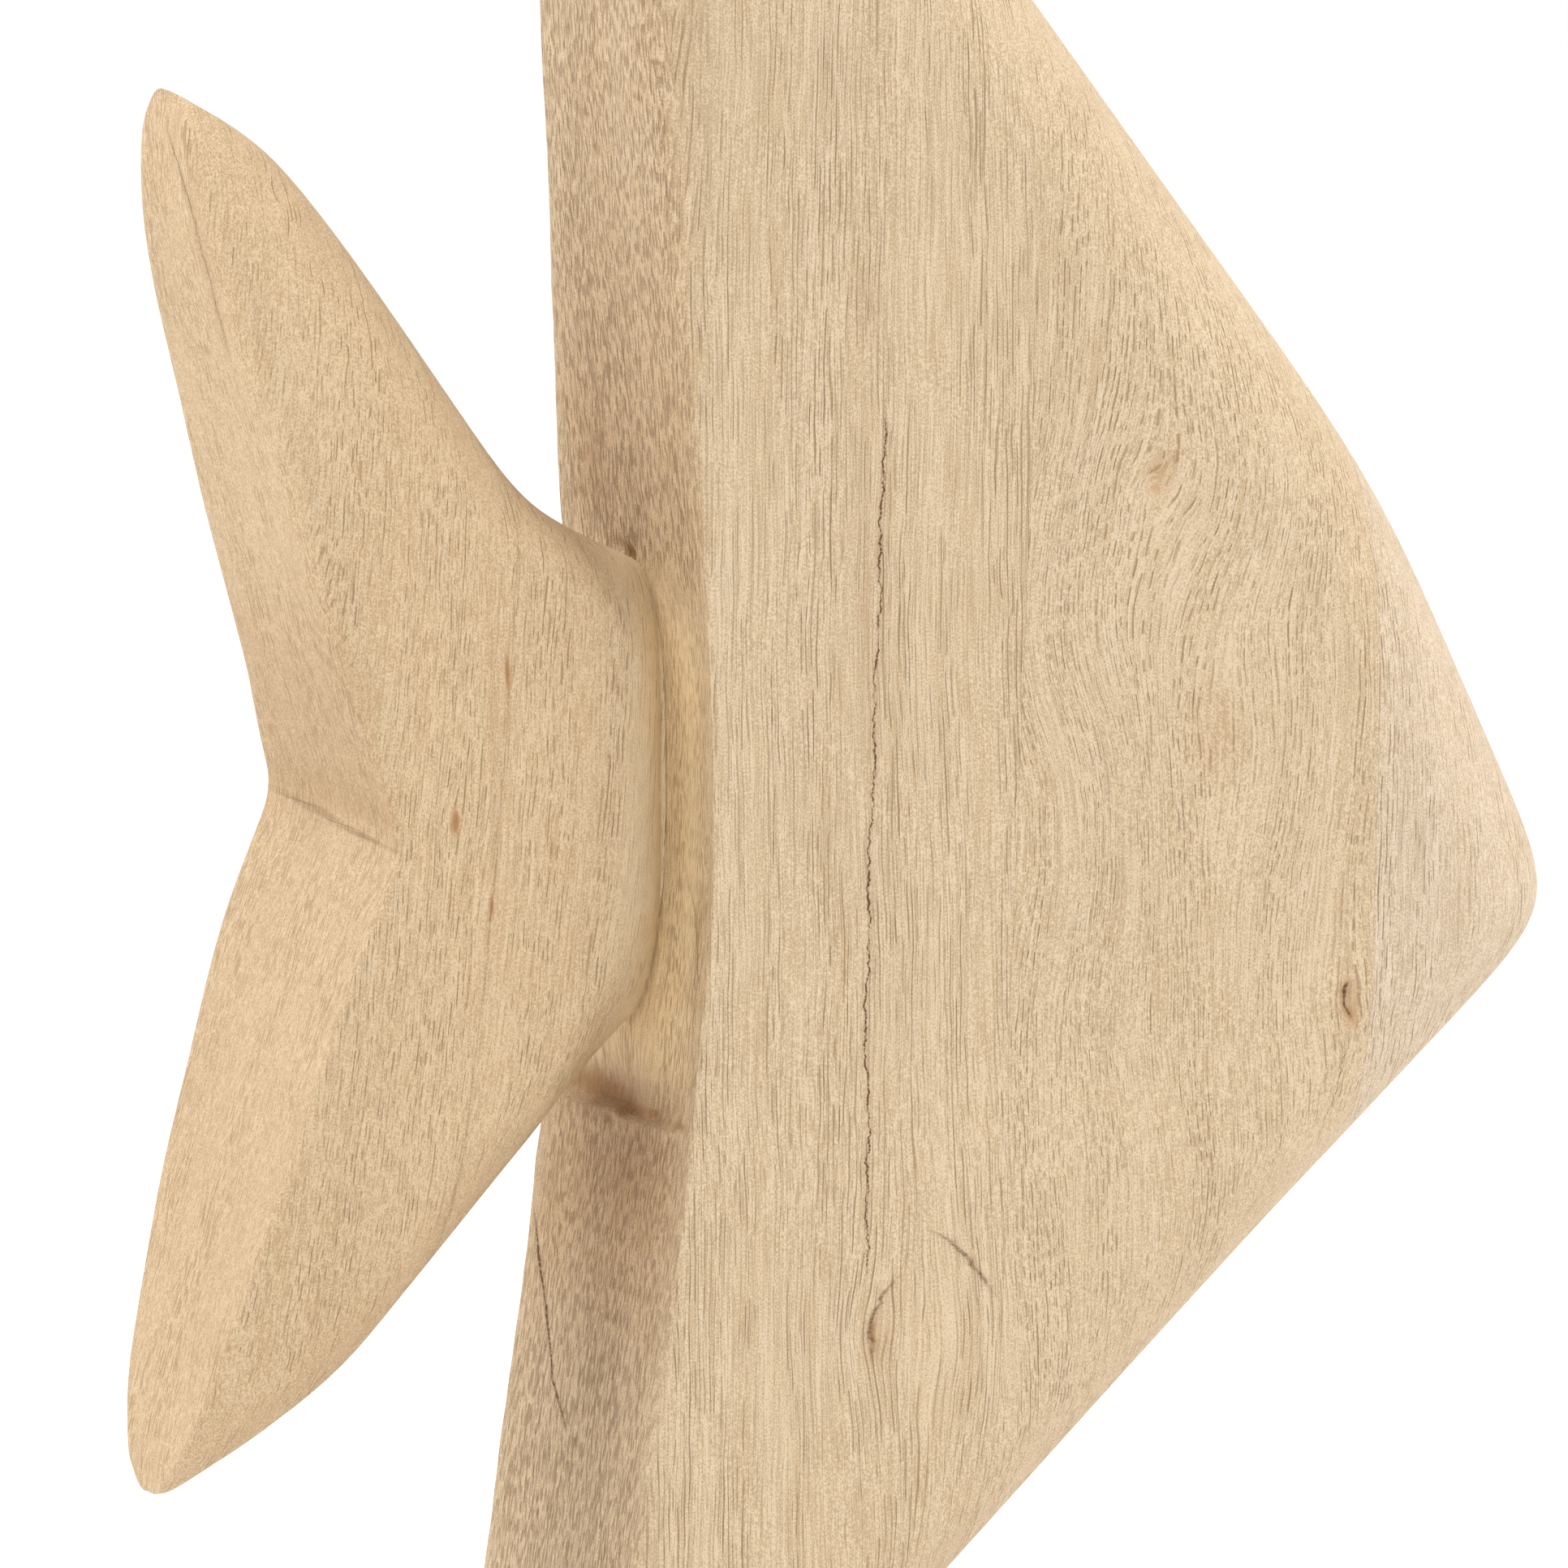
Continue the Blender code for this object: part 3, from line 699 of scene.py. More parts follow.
@dataclass(frozen=True)
class BareWood:
    """Open-pored pale timber, sanded and left bare. The grain runs along z."""

    name: str
    seed: float = 0.0
    lean: float = 0.0                 # grain drift in x per millimetre of height
    wander: float = 5.0               # slow side-to-side drift of the grain
    pores: float = 1.0                # how many open pores
    figure: float = 1.0               # contrast of the growth bands
    warm: float = 0.0                 # share of the warmer brown in the ground
    knots: tuple[Knot, ...] = ()
    checks: tuple[Check, ...] = ()
    stains: tuple[Stain, ...] = ()
    sweeps: tuple[Sweep, ...] = ()
    run: float = 5.0                  # usual length of an open vessel in millimetres
    saw_cut_and_painted_light: float = 0.0            # how much the tail-side face keeps its saw-cut brown and torn pores, with painted shade under and over the tail and painted light in the gouged hollow
    lift: Optional[tuple[float, float]] = None      # x from and to which the colour is painted paler: painted light over the roll into the tail root
    along_x: bool = False             # grain along x, for the plinth
    pale: Colour = (207, 187, 158)
    tan: Colour = (183, 158, 125)
    pore_tone: Colour = (150, 122, 86)
    brown: Colour = (98, 66, 34)
    heart_tone: Colour = (186, 148, 106)
    # The next four tones also carry painted light and shade: saw-cut brown as shade under and over
    # the tail, fresh and lifted tones as light near the tail root, the stain tone as shade.
    sawn_and_shade_tone: Colour = (180, 130, 68)
    fresh_cut_and_light_tone: Colour = (244, 216, 170)
    root_painted_light_tone: Colour = (238, 220, 186)
    stain_and_shade_tone: Colour = (148, 104, 60)

    def build(self) -> bpy.types.Material:
        """Grain coordinates first, then pores, bands, knots, cracks, colour with its painted light
        and shade, and relief.

        Returns:
            The material.
        """
        sheet = Sheet(self.name)
        x, y, z = sheet.place()
        if self.along_x:
            x, z = z, x
        at = Spot(sheet, x, y, z, sheet.tailward())
        across, heart, rings = self._flow(at)
        fibre, streaks, coarse = self._pores(at, across)
        cut, sawn, fuzz = self._cracks_and_crease_shade(at), self._sawn_and_painted_shade(at), self._fuzz(at)
        grit = sheet.noise(x * 3.1, y * 3.1, z * 2.5)
        tone = (self._ground(at, across) + 0.16 * rings + (fibre - 0.5) * 1.8
                + (grit - 0.5) * 2.8)
        # painted light: paler over the given span of x, the roll into the tail root
        lifted = x.step(*self.lift) * 0.7 if self.lift else 0.0
        colour = sheet.mix(tone.at_least(0.0).at_most(1.0), tint(*self.tan), tint(*self.pale))
        # Painted light and shade ride in these mixes: the saw-cut brown darkens under and over the
        # tail, the gouged and lifted tones paint light near the tail root, the stain tone paints
        # shade in hollows and on the tail's trailing faces, and the crack brown paints shade in
        # the tail's notch crease.
        for share, rgb in ((heart * 0.55, self.heart_tone), (sawn, self.sawn_and_shade_tone),
                           (self._fresh_cut_and_painted_light(at) * 0.75, self.fresh_cut_and_light_tone),
                           (lifted, self.root_painted_light_tone), (self._stained(at), self.stain_and_shade_tone),
                           ((streaks * 0.66 + coarse * 0.42).at_most(0.85), self.pore_tone),
                           (cut.at_most(1.0), self.brown), (fuzz * 0.42, self.brown)):
            colour = sheet.mix(share, colour, tint(*rgb))
        height = (1.0 - 0.5 * fuzz - 0.50 * streaks - 0.25 * coarse + 0.9 * fibre
                  + 0.6 * grit + 0.10 * rings)
        sheet.shader.inputs["Specular IOR Level"].default_value = 0.28
        return sheet.finish(colour, 0.72 + 0.12 * streaks + 0.08 * sawn, height, 0.00026)

    def _flow(self, at: Spot) -> tuple[Num, Num, Num]:
        """Distance across the grain, which drifts slowly and parts round each knot.

        The grain parts as a stream parts round a post, x (1 - a^2 / (r^2 + b^2)), so lines
        of equal distance run round the knot.

        Args:
            at: the shaded point.

        Returns:
            The distance, the darkness of knot hearts, and their rings.
        """
        sheet, x, y, z = at.sheet, at.x, at.y, at.z
        slow = sheet.noise(x * 0.011 + self.seed, y * 0.02, z * 0.0075, 2.0)
        across = x - self.lean * z + (slow - 0.5) * (2.0 * self.wander)
        wobble = sheet.noise(x * 0.07, y * 0.07 + self.seed, z * 0.022, 1.0)
        ripple = sheet.noise(x * 0.28, y * 0.28, z * 0.085 + self.seed, 1.0)
        across = across + (wobble - 0.5) * 1.8 + (ripple - 0.5) * 1.0
        heart: Value = x * 0.0
        rings: Value = heart
        for sweep in self.sweeps:
            rise = z - sweep.z
            near = ((x - sweep.x) / sweep.wide) ** 2 + (rise / sweep.tall) ** 2
            across = across + rise * sweep.slope * (near * -1.0).exp()
        for knot in self.knots:
            spot, here = at.on(knot.face)
            off_x = spot - knot.x
            off_z = (z - knot.z) / knot.stretch
            far = off_x * off_x + off_z * off_z
            pull = knot.reach ** 2 / (far + (1.05 * knot.reach) ** 2)
            across = across - off_x * pull * here * 0.62
            radius = far.root()
            jitter = sheet.noise(x * 0.35, self.seed + 3.0, z * 0.3, 2.0)
            heart = heart + (1.0 - (radius + jitter * 1.6 - 0.8).step(
                knot.core * 0.35, knot.core * 1.5)) * here * knot.dark
            swirl = ((radius + jitter * 2.5) * 3.3).sine()
            rings = rings + swirl * here * knot.rings * (far / (-(1.6 * knot.core) ** 2)).exp()
        return across, heart, rings

    def _pores(self, at: Spot, across: Num) -> tuple[Num, Num, Num]:
        """Fibre and open vessels: fine lines, then dark dashes in two sizes.

        The dashes crowd together in some growth bands and thin out in others.

        Args:
            at: the shaded point.
            across: distance across the grain.

        Returns:
            The fibre noise around 0.5, and masks of the fine and the coarse dashes.
        """
        sheet, y, z = at.sheet, at.y, at.z
        crowd = sheet.noise(across * 0.12 + self.seed, y * 0.12, z * 0.007, 2.0)
        rich = 0.45 + 0.75 * crowd.step(0.38, 0.62)
        fibre = sheet.noise(across * 3.2 + self.seed, y * 3.2, z * 0.06)
        side = abs(at.tailward).step(0.66, 0.90)
        dots = sheet.noise(y * 2.3 + self.seed, z * 0.30, across * 0.2)
        dots = (dots - 0.60 + 0.05 * self.pores).step(0.0, 0.08) * side
        wide = self._lines(at, across, 1.12, self.run) * (1.0 - side)
        close = self._lines(at, across, 0.66, self.run * 0.7) * (1.0 - side)
        return fibre, (wide + dots * 0.7) * rich, close * rich

    def _lines(self, at: Spot, across: Num, pitch: float, run: float) -> Num:
        """Thin dark lines along the grain, unevenly spaced and broken into dashes.

        Args:
            at: the shaded point.
            across: distance across the grain.
            pitch: usual distance between lines.
            run: usual length of a dash.

        Returns:
            The mask.
        """
        spread = at.sheet.noise(across * 0.45, at.y * 0.3 + self.seed + pitch, at.z * 0.03, 1.0)
        place = across / pitch + 1.3 * spread
        line = place.zigzag().step(0.17, 0.03)
        torn = at.sheet.noise(place * 0.8, self.seed + pitch, at.z / run, 1.0, 0.6)
        return line * (torn - 0.53 + 0.05 * self.pores).step(0.0, 0.08)

    def _ground(self, at: Spot, across: Num) -> Num:
        """Tone of the ground between tan, 0, and pale, 1."""
        sheet, y, z = at.sheet, at.y, at.z
        bands = sheet.noise(across * 0.14 + self.seed, y * 0.10, z * 0.0035, 3.0, 0.62)
        stripes = sheet.noise(across * 0.8, y * 0.8 + self.seed, z * 0.012, 2.0, 0.6)
        cloud = sheet.noise(across * 0.018, y * 0.03, z * 0.012 + self.seed, 2.0)
        return (0.56 - self.warm + (bands - 0.5) * (0.9 * self.figure)
                + (stripes - 0.5) * (0.50 * self.figure) + (cloud - 0.5) * 0.4)

    def _cracks_and_crease_shade(self, at: Spot) -> Num:
        """Mask of the drying cracks, which open and close along their length, and of any band of
        painted shade given as a check.
        """
        sheet, x, y, z = at.sheet, at.x, at.y, at.z
        torn = (0.30 * (z / 5.3 + 0.5).sine() + 0.20 * (z / 1.7 + 2.0).sine()
                + 0.14 * (z / 0.61).sine()
                + (sheet.noise(z * 1.1, x * 0.03, self.seed, 1.0) - 0.5) * 1.1)
        beads = (sheet.noise(z * 2.3, x * 0.05, self.seed) - 0.5).step(-0.10, 0.06)
        beads = 0.45 + 0.55 * beads
        gape = sheet.noise(z * 0.16, x * 0.06 + y * 0.03, self.seed, 2.0) - 0.25
        narrow = 1.5 - 2.0 * gape
        cut: Value = x * 0.0
        for check in self.checks:
            low, high = check.line[0][0], check.line[-1][0]
            spot, mask = at.on(check.face)
            off = abs(spot - z.through(check.line) - torn * check.waver) * narrow
            fade = min(6.0, 0.3 * (high - low))
            here = mask * (z - low).step(0.0, fade) * (high - z).step(0.0, fade)
            open_ = gape.step(0.5 * check.broken - 0.12, 0.5 * check.broken + 0.10) * beads
            line = 1.0 - off.step(check.width * 0.35, check.width * 1.25)
            halo = (off * off / -0.9).exp() * check.halo
            cut = cut + (line * open_ + halo) * here * check.strength
        return cut

    def _stained(self, at: Spot) -> Num:
        """Share of brown from the stains and the patches of painted shade, with frayed edges, at
        most 0.8.
        """
        sheet, x, y, z = at.sheet, at.x, at.y, at.z
        total: Value = x * 0.0
        for face in {stain.face: None for stain in self.stains}:
            spot, mask = at.on(face)
            share: Value = x * 0.0
            for stain in self.stains:
                if stain.face is face:
                    off = ((spot - stain.a) / stain.wide) ** 2 + ((z - stain.z) / stain.tall) ** 2
                    share = share + (off * -1.0).exp() * stain.strength
            total = total + share * mask
        fray = 0.35 + 1.3 * sheet.noise(x * 0.9, y * 0.9, z * 0.45 + self.seed, 3.0, 0.65)
        return (total * fray).at_most(0.8)

    def _fresh_cut_and_painted_light(self, at: Spot) -> Num:
        """Mask of the paler wood laid bare by the gouge, plus painted light: palest against the
        tail root, where the tail shades the hollow.
        """
        # painted light: brightest away from the ridge, against the tail root, where shade falls
        inner = 0.15 + 0.85 * at.from_ridge(1.0, 17.0)
        window = (at.z + 60.0).step(0.0, 12.0) * (58.0 - at.z).step(0.0, 34.0)
        return at.tailward.step(0.45, 0.92) * inner * window * self.saw_cut_and_painted_light

    def _fuzz(self, at: Spot) -> Num:
        """Torn pores of the saw-cut face: coarse dark dashes, fewest in the gouged hollow."""
        if self.saw_cut_and_painted_light == 0.0:
            return at.x * 0.0
        torn = at.sheet.noise(at.y * 1.7 + self.seed, at.z * 0.32, at.x * 0.1)
        smooth = (at.z + 66.0).step(0.0, 4.0) * (50.0 - at.z).step(0.0, 8.0)
        inner = 0.4 + 0.6 * at.from_ridge(0.5, 9.0)
        facing = at.tailward.step(0.6, 0.95)
        return (torn - 0.54).step(-0.02, 0.07) * facing * (1.0 - 0.75 * smooth) * inner

    def _sawn_and_painted_shade(self, at: Spot) -> Num:
        """Share of saw-cut brown on tail-side faces, plus painted shade: deepest just under and
        over the tail, where the tail shades the body.
        """
        def hill(centre: float, reach: float, power: float = 2.0) -> Num:
            """Hill of height 1 round a height."""
            return (((at.z - centre) / reach) ** power * -1.0).exp()
        # painted shade: these hills darken the face under the tail and over it
        depth = 0.08 + 0.20 * hill(-80.0, 24.0) + 0.10 * hill(66.0, 34.0)
        depth = depth - 0.08 * hill(0.0, 42.0, 4.0)
        inner = 0.3 + 0.7 * at.from_ridge(0.5, 9.0)
        return at.tailward.step(0.45, 0.92) * depth * inner * self.saw_cut_and_painted_light


def lighter(colour: Colour, factor: float, lift: float = 0.0) -> tuple[float, ...]:
    """A colour with its light multiplied, then lifted."""
    return (*(min(1.0, part * factor + lift) for part in tint(*colour)[:3]), 1.0)


@dataclass(frozen=True)
class Metal:
    """Turned steel, either blackened or zinc plated, with fine lathe marks."""

    name: str
    colour: Colour = (24, 24, 25)
    metallic: float = 0.9
    roughness: float = 0.42

    def build(self) -> bpy.types.Material:
        """Cloudy plating with fine turning rings."""
        sheet = Sheet(self.name)
        x, y, z = sheet.place()
        cloud = sheet.noise(x * 0.5, y * 0.5, z * 0.5, 3.0)
        turned = sheet.noise(x * 0.05, y * 0.05, z * 7.0, 1.0)
        colour = sheet.mix(cloud, tint(*self.colour), lighter(self.colour, 1.6, 0.004))
        sheet.shader.inputs["Metallic"].default_value = self.metallic
        return sheet.finish(colour, self.roughness + (cloud - 0.5) * 0.2, turned, 0.00002)


@dataclass(frozen=True)
class Felt:
    """Pressed wool felt."""

    name: str
    colour: Colour = (92, 88, 84)

    def build(self) -> bpy.types.Material:
        """Matted fibres as stretched noise in two directions."""
        sheet = Sheet(self.name)
        x, y, z = sheet.place()
        one = sheet.noise(x * 2.6, y * 0.6, z * 2.0, 3.0, 0.6, 1.2)
        two = sheet.noise(x * 0.6, y * 2.6, z * 2.0, 3.0, 0.6, 1.2)
        matted = (one + two) * 0.5
        colour = sheet.mix(matted.step(0.35, 0.65), tint(*self.colour),
                           lighter(self.colour, 1.7))
        return sheet.finish(colour, 0.95, matted, 0.0004)


@dataclass(frozen=True)
class StudioPaper:
    """Seamless white paper under and behind the object."""

    name: str = "studio_paper"
    grey: float = 0.93
    white: float = 0.96

    def build(self) -> bpy.types.Material:
        """White with the faintest tooth."""
        sheet = Sheet(self.name)
        x, y, z = sheet.place()
        tooth = sheet.noise(x * 0.4, y * 0.4, z * 0.4, 2.0)
        ends = [(level, level, level, 1.0) for level in (self.grey, self.white)]
        return sheet.finish(sheet.mix(tooth, *ends), 0.9)


# ---------------------------------------------------------------- sub-assemblies


@dataclass
class Board:
    """One carved board: its limits along x, its thickness and how finely it is drawn."""

    node: str
    limits: Callable[[Array], tuple[Array, Array]]
    form: Union[BodyForm, TailForm]
    rows: int
    reach: tuple[float, float]
    bands: tuple[tuple[float, float, int], ...] = ()
    start_columns: int = 4
    side_columns: int = 60
    end_columns: int = 4
    eased_start: bool = False         # the start face is a carved face, not a glued one
    check: Optional[Check] = None
    knots: tuple[Knot, ...] = ()

    def span(self) -> tuple[float, float]:
        """Lowest and highest height at which the board still has some width."""
        z = np.linspace(*self.reach, 6000)
        start, end = self.limits(z)
        inside = z[(end - start) > 0.05]
        return float(inside.min()), float(inside.max())

    def side_run(self, z: Array, start: Array, end: Array) -> Array:
        """Columns along a broad face, with seven set close round the crack if there is one.

        Args:
            z, start, end: (rows, 1) heights, first x and last x.

        Returns:
            (rows, columns) x, the first column one step in from start.
        """
        parts = []
        first = start
        if self.eased_start:
            corner = np.minimum(self.form.corner(z), 0.4 * (end - start))
            parts.append(start + corner * np.array([0.06, 0.22, 0.45, 0.72, 1.0]))
            first = start + corner
        if self.check is None:
            parts.append(run_between(first, end, self.side_columns, 0.75))
            return np.concatenate(parts, axis=1)
        room = end - first
        middle = np.clip(self.check.x(z), first + 0.15 * room, end - 0.15 * room)
        lips = np.minimum(0.55, 0.05 * room) * np.array([-1.0, -0.55, -0.25, 0.0, 0.25, 0.55, 1.0])
        before = self.side_columns // 3
        parts.append(run_between(first, middle - 1.9 * np.abs(lips[:, :1]), before))
        parts.append(middle + lips)
        parts.append(run_between(middle + lips[:, -1:], end, self.side_columns - before, 0.75))
        return np.concatenate(parts, axis=1)

    def wear(self, x: Array, z: Array, face: Face) -> Array:
        """Depth lost on one broad face: the open crack and the hollows at the knots."""
        lost = np.zeros(np.broadcast(x, z).shape)
        if self.check is not None and self.check.face is face:
            low, high = self.check.line[0][0], self.check.line[-1][0]
            here = ramp(z, low, low + 15.0) * (1.0 - ramp(z, high - 15.0, high))
            gape = 0.6 + 0.4 * np.sin(z / 13.0) * np.sin(z / 5.1 + 1.0)
            lost = lost + 0.16 * here * gape * np.exp(-((x - self.check.x(z)) / 0.20) ** 2)
        for knot in self.knots:
            if knot.face is face:
                lost = lost + knot.dent * bump_at(x, z, (knot.x, knot.z), knot.core)
                lost = lost - 0.5 * knot.dent * bump_at(x, z, (knot.x, knot.z), knot.reach)
        return lost

    def grid(self) -> tuple[Array, tuple[Array, Array]]:
        """Loops of points up the board: start face, front side, end face, back side.

        Returns:
            (rows, columns, 3) points and the two poles.
        """
        low, high = self.span()
        heights = heights_between(low, high, self.rows, self.bands)
        z = heights[1:-1, None]
        start, end = self.limits(z)
        run = self.side_run(z, start, end)
        thick = self.form.thickness(run, z)
        front = -np.maximum(thick - self.wear(run, z, Face.FRONT), 0.0)
        back = np.maximum(thick - self.wear(run, z, Face.BACK), 0.0)
        face_y = self.form.thickness(start, z) * np.linspace(1.0, -1.0, self.start_columns)
        face_x = start + np.zeros_like(face_y)
        share = np.linspace(0.0, 1.0, self.end_columns + 2)[1:-1]
        end_y = front[:, -1:] + (back[:, -1:] - front[:, -1:]) * share
        end_x = end + np.zeros_like(end_y)
        if isinstance(self.form, BodyForm) and self.eased_start:
            face_x = face_x + self.form.scoop(face_y, z)
        xs = np.concatenate([face_x, run, end_x, run[:, ::-1]], axis=1)
        ys = np.concatenate([face_y, front, end_y, back[:, ::-1]], axis=1)
        points = np.stack([xs, ys, z + np.zeros_like(xs)], axis=-1)
        points = self.form.hand_work(points)
        poles = []
        for height, ring in ((heights[0], points[0]), (heights[-1], points[-1])):
            poles.append(np.array([ring[:, 0].mean(), 0.0, height]))
        return points, (poles[0], poles[1])

    def build(self) -> bpy.types.Object:
        """Make the board's mesh."""
        points, poles = self.grid()
        return solid_from_grid(self.node.replace("_board", "_timber"), points, poles)


def dress(piece: bpy.types.Object, material: bpy.types.Material) -> None:
    """Give a piece its one material."""
    piece.data.materials.clear()
    piece.data.materials.append(material)
    LOG.info("%s: %d faces in %s", piece.name, len(piece.data.polygons), material.name)


def finish_boards(boards: Sequence[Board], woods: Sequence[BareWood]) -> None:
    """Make and dress boards, each riding on the one body and standing for its CAD node."""
    for board, wood in zip(boards, woods):
        piece = board.build()
        dress(piece, wood.build())
        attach(piece, "root")
        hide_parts(board.node)


@dataclass
class Body:
    """The three edge-glued boards of the body."""

    form: BodyForm = field(default_factory=BodyForm)
    knots: tuple[Knot, ...] = (
        Knot(66.3, 62.0, 9.0, 3.4, dark=0.30, rings=0.30, dent=0.45, stretch=1.3),
        Knot(65.6, 59.3, 1.5, 0.9, dark=0.9, rings=0.1, dent=0.3, stretch=1.2),
        Knot(79.0, 12.0, 14.0, 6.5, dark=0.12, rings=0.22, dent=0.20, stretch=1.9),
        Knot(108.0, -46.0, 7.0, 2.8, dark=0.6, rings=0.6, dent=0.5, stretch=1.5),
        Knot(109.3, -50.6, 1.6, 0.9, dark=1.0, rings=0.1, dent=0.3, stretch=1.4),
        Knot(62.0, 40.0, 8.0, 3.0, dark=0.4, rings=0.3, dent=0.2, face=Face.BACK),
    )
    low_knots: tuple[Knot, ...] = (
        Knot(4.4, -104.4, 6.0, 2.2, dark=0.25, rings=0.2, dent=0.3, stretch=1.5),
        Knot(2.3, -105.2, 1.2, 0.7, dark=1.0, rings=0.1, dent=0.2, stretch=1.6),
        Knot(15.5, -106.0, 9.0, 5.0, dark=0.08, rings=0.10, dent=0.1, stretch=1.6),
        Knot(2.7, 47.2, 2.0, 1.1, dark=1.0, rings=0.1, stretch=0.9, face=Face.TAIL_SIDE),
    )

    def rear_limits(self, z: Array) -> tuple[Array, Array]:
        """Rear board: from the carved rear face to the first joint."""
        rear, front = self.form.ends(z)
        return rear, np.minimum(front, GLUE_REAR.x(z) - JOINT_LINE)

    def middle_limits(self, z: Array) -> tuple[Array, Array]:
        """Middle board: between the two joints, cut by the front outline."""
        front = self.form.ends(z)[1]
        return GLUE_REAR.x(z) + JOINT_LINE, np.minimum(front, GLUE_NOSE.x(z) - JOINT_LINE)

    def nose_limits(self, z: Array) -> tuple[Array, Array]:
        """Nose board: in front of the second joint."""
        return GLUE_NOSE.x(z) + JOINT_LINE, self.form.ends(z)[1]

    def build(self) -> None:
        """Make and dress the three boards."""
        faint = Check(((-152.0, 5.1), (-105.0, 6.9)), width=0.14, strength=0.45, broken=0.7)
        growth = Check(((-128.9, -4.0), (-127.5, 3.0), (-124.7, 5.6), (-117.8, 13.1),
                        (-104.4, 20.1), (-97.0, 24.8), (-85.3, 32.0)), Face.TAIL_SIDE,
                       0.55, 0.9, 0.0, 0.6, 0.25)
        ridge_split = Check(((-42.0, -28.0), (-37.6, -26.3), (-31.9, -27.7), (-19.1, -23.2),
                             (-12.6, -18.2)), Face.TAIL_SIDE, 0.14, 0.7, 0.2, 0.8, 0.2)
        nose_split = Check(((-78.0, 103.6), (-60.0, 107.0), (-51.0, 109.3)), width=0.13,
                           strength=0.7, broken=0.2)
        crescent = Check(((-51.0, 109.5), (-47.5, 107.6), (-44.0, 107.4), (-41.5, 108.8)),
                         width=0.32, strength=1.0, broken=0.0, waver=0.3, halo=0.4)
        arch = Check(((-100.0, 29.1), (-95.0, 26.0), (-89.8, 22.0), (-85.5, 16.5),
                      (-83.4, 11.5)), width=0.5, strength=0.5, broken=0.0, halo=0.5)
        inner = Check(((-112.0, 2.6), (-103.0, 2.0), (-97.0, 4.0), (-93.0, 8.5), (-91.6, 12.0)),
                      width=0.5, strength=0.5, broken=0.1, halo=0.5)
        seam = Check(((92.0, GLUE_REAR.x(92.0) - 0.1), (246.0, GLUE_REAR.x(246.0) - 0.1)),
                     width=0.14, strength=0.5, broken=0.75, waver=0.15, halo=0.1)
        side = Face.HOLLOW
        stains = (
            # On the hollow, the patches at heights -60 to -65 are painted shade in the cave above
            # the ledge and the one at -72 is painted shade under the tail; the rest are browner
            # patches, a pit, streaks and knots.
            Stain(14.0, -60.0, 15.0, 3.4, 0.9, side), Stain(-9.0, -61.6, 10.0, 1.4, 0.6, side),
            Stain(-8.0, -72.0, 15.0, 9.0, 0.30, side), Stain(14.4, 66.2, 8.0, 13.0, 0.32, side),
            Stain(-1.3, -62.2, 1.6, 1.0, 0.9, side), Stain(3.4, -64.7, 1.5, 0.8, 0.9, side),
            Stain(-13.8, -60.8, 1.8, 0.7, 0.8, side), Stain(-26.5, -61.5, 2.4, 0.6, 0.5, side),
            Stain(2.7, 47.0, 2.0, 1.6, 1.6, side), Stain(5.0, 50.0, 5.0, 1.8, 0.4, side),
            Stain(-26.0, -22.0, 2.0, 7.0, 0.35, side), Stain(2.8, 98.0, 2.0, 6.0, 0.30),
            Stain(2.2, -104.0, 0.8, 3.4, 0.6), Stain(1.5, 45.0, 1.4, 30.0, 0.16),
        )
        rear = Board("body_rear_board", self.rear_limits, self.form, 290, (-246.0, 276.0),
                     ((-68.0, -57.0, 30), (38.0, 52.0, 26)), start_columns=61,
                     side_columns=44, end_columns=3, eased_start=True, check=MAIN_CHECK,
                     knots=self.low_knots)
        middle = Board("body_middle_board", self.middle_limits, self.form, 240,
                       (-200.0, 220.0), ((-52.0, -41.0, 16),), side_columns=84,
                       knots=self.knots)
        nose = Board("nose_board", self.nose_limits, self.form, 160, (-120.0, 120.0),
                     side_columns=60, end_columns=1)
        woods = (
            BareWood("rear_timber", seed=1.3, wander=3.0, pores=1.15, warm=0.07,
                     knots=self.low_knots, stains=stains, saw_cut_and_painted_light=1.0, run=11.0,
                     checks=(MAIN_CHECK, faint, growth, ridge_split, arch, inner, seam)),
            BareWood("middle_timber", seed=5.1, wander=9.0, pores=0.95, figure=0.8,
                     knots=self.knots, checks=(nose_split, crescent), run=3.2,
                     sweeps=(Sweep(47.0, 14.0, 20.0, 34.0, 0.42),
                             Sweep(88.0, 44.0, 16.0, 24.0, -0.30)),
                     stains=(Stain(66.3, 62.5, 3.0, 4.0, 0.28), Stain(79.0, 8.0, 6.0, 9.0, 0.12),
                             Stain(109.0, -49.0, 2.6, 4.0, 0.35))),
            BareWood("nose_timber", seed=9.7, lean=0.02, wander=2.5, pores=0.95, figure=0.85,
                     pale=(209, 191, 168), tan=(186, 164, 135)),
        )
        finish_boards((rear, middle, nose), woods)


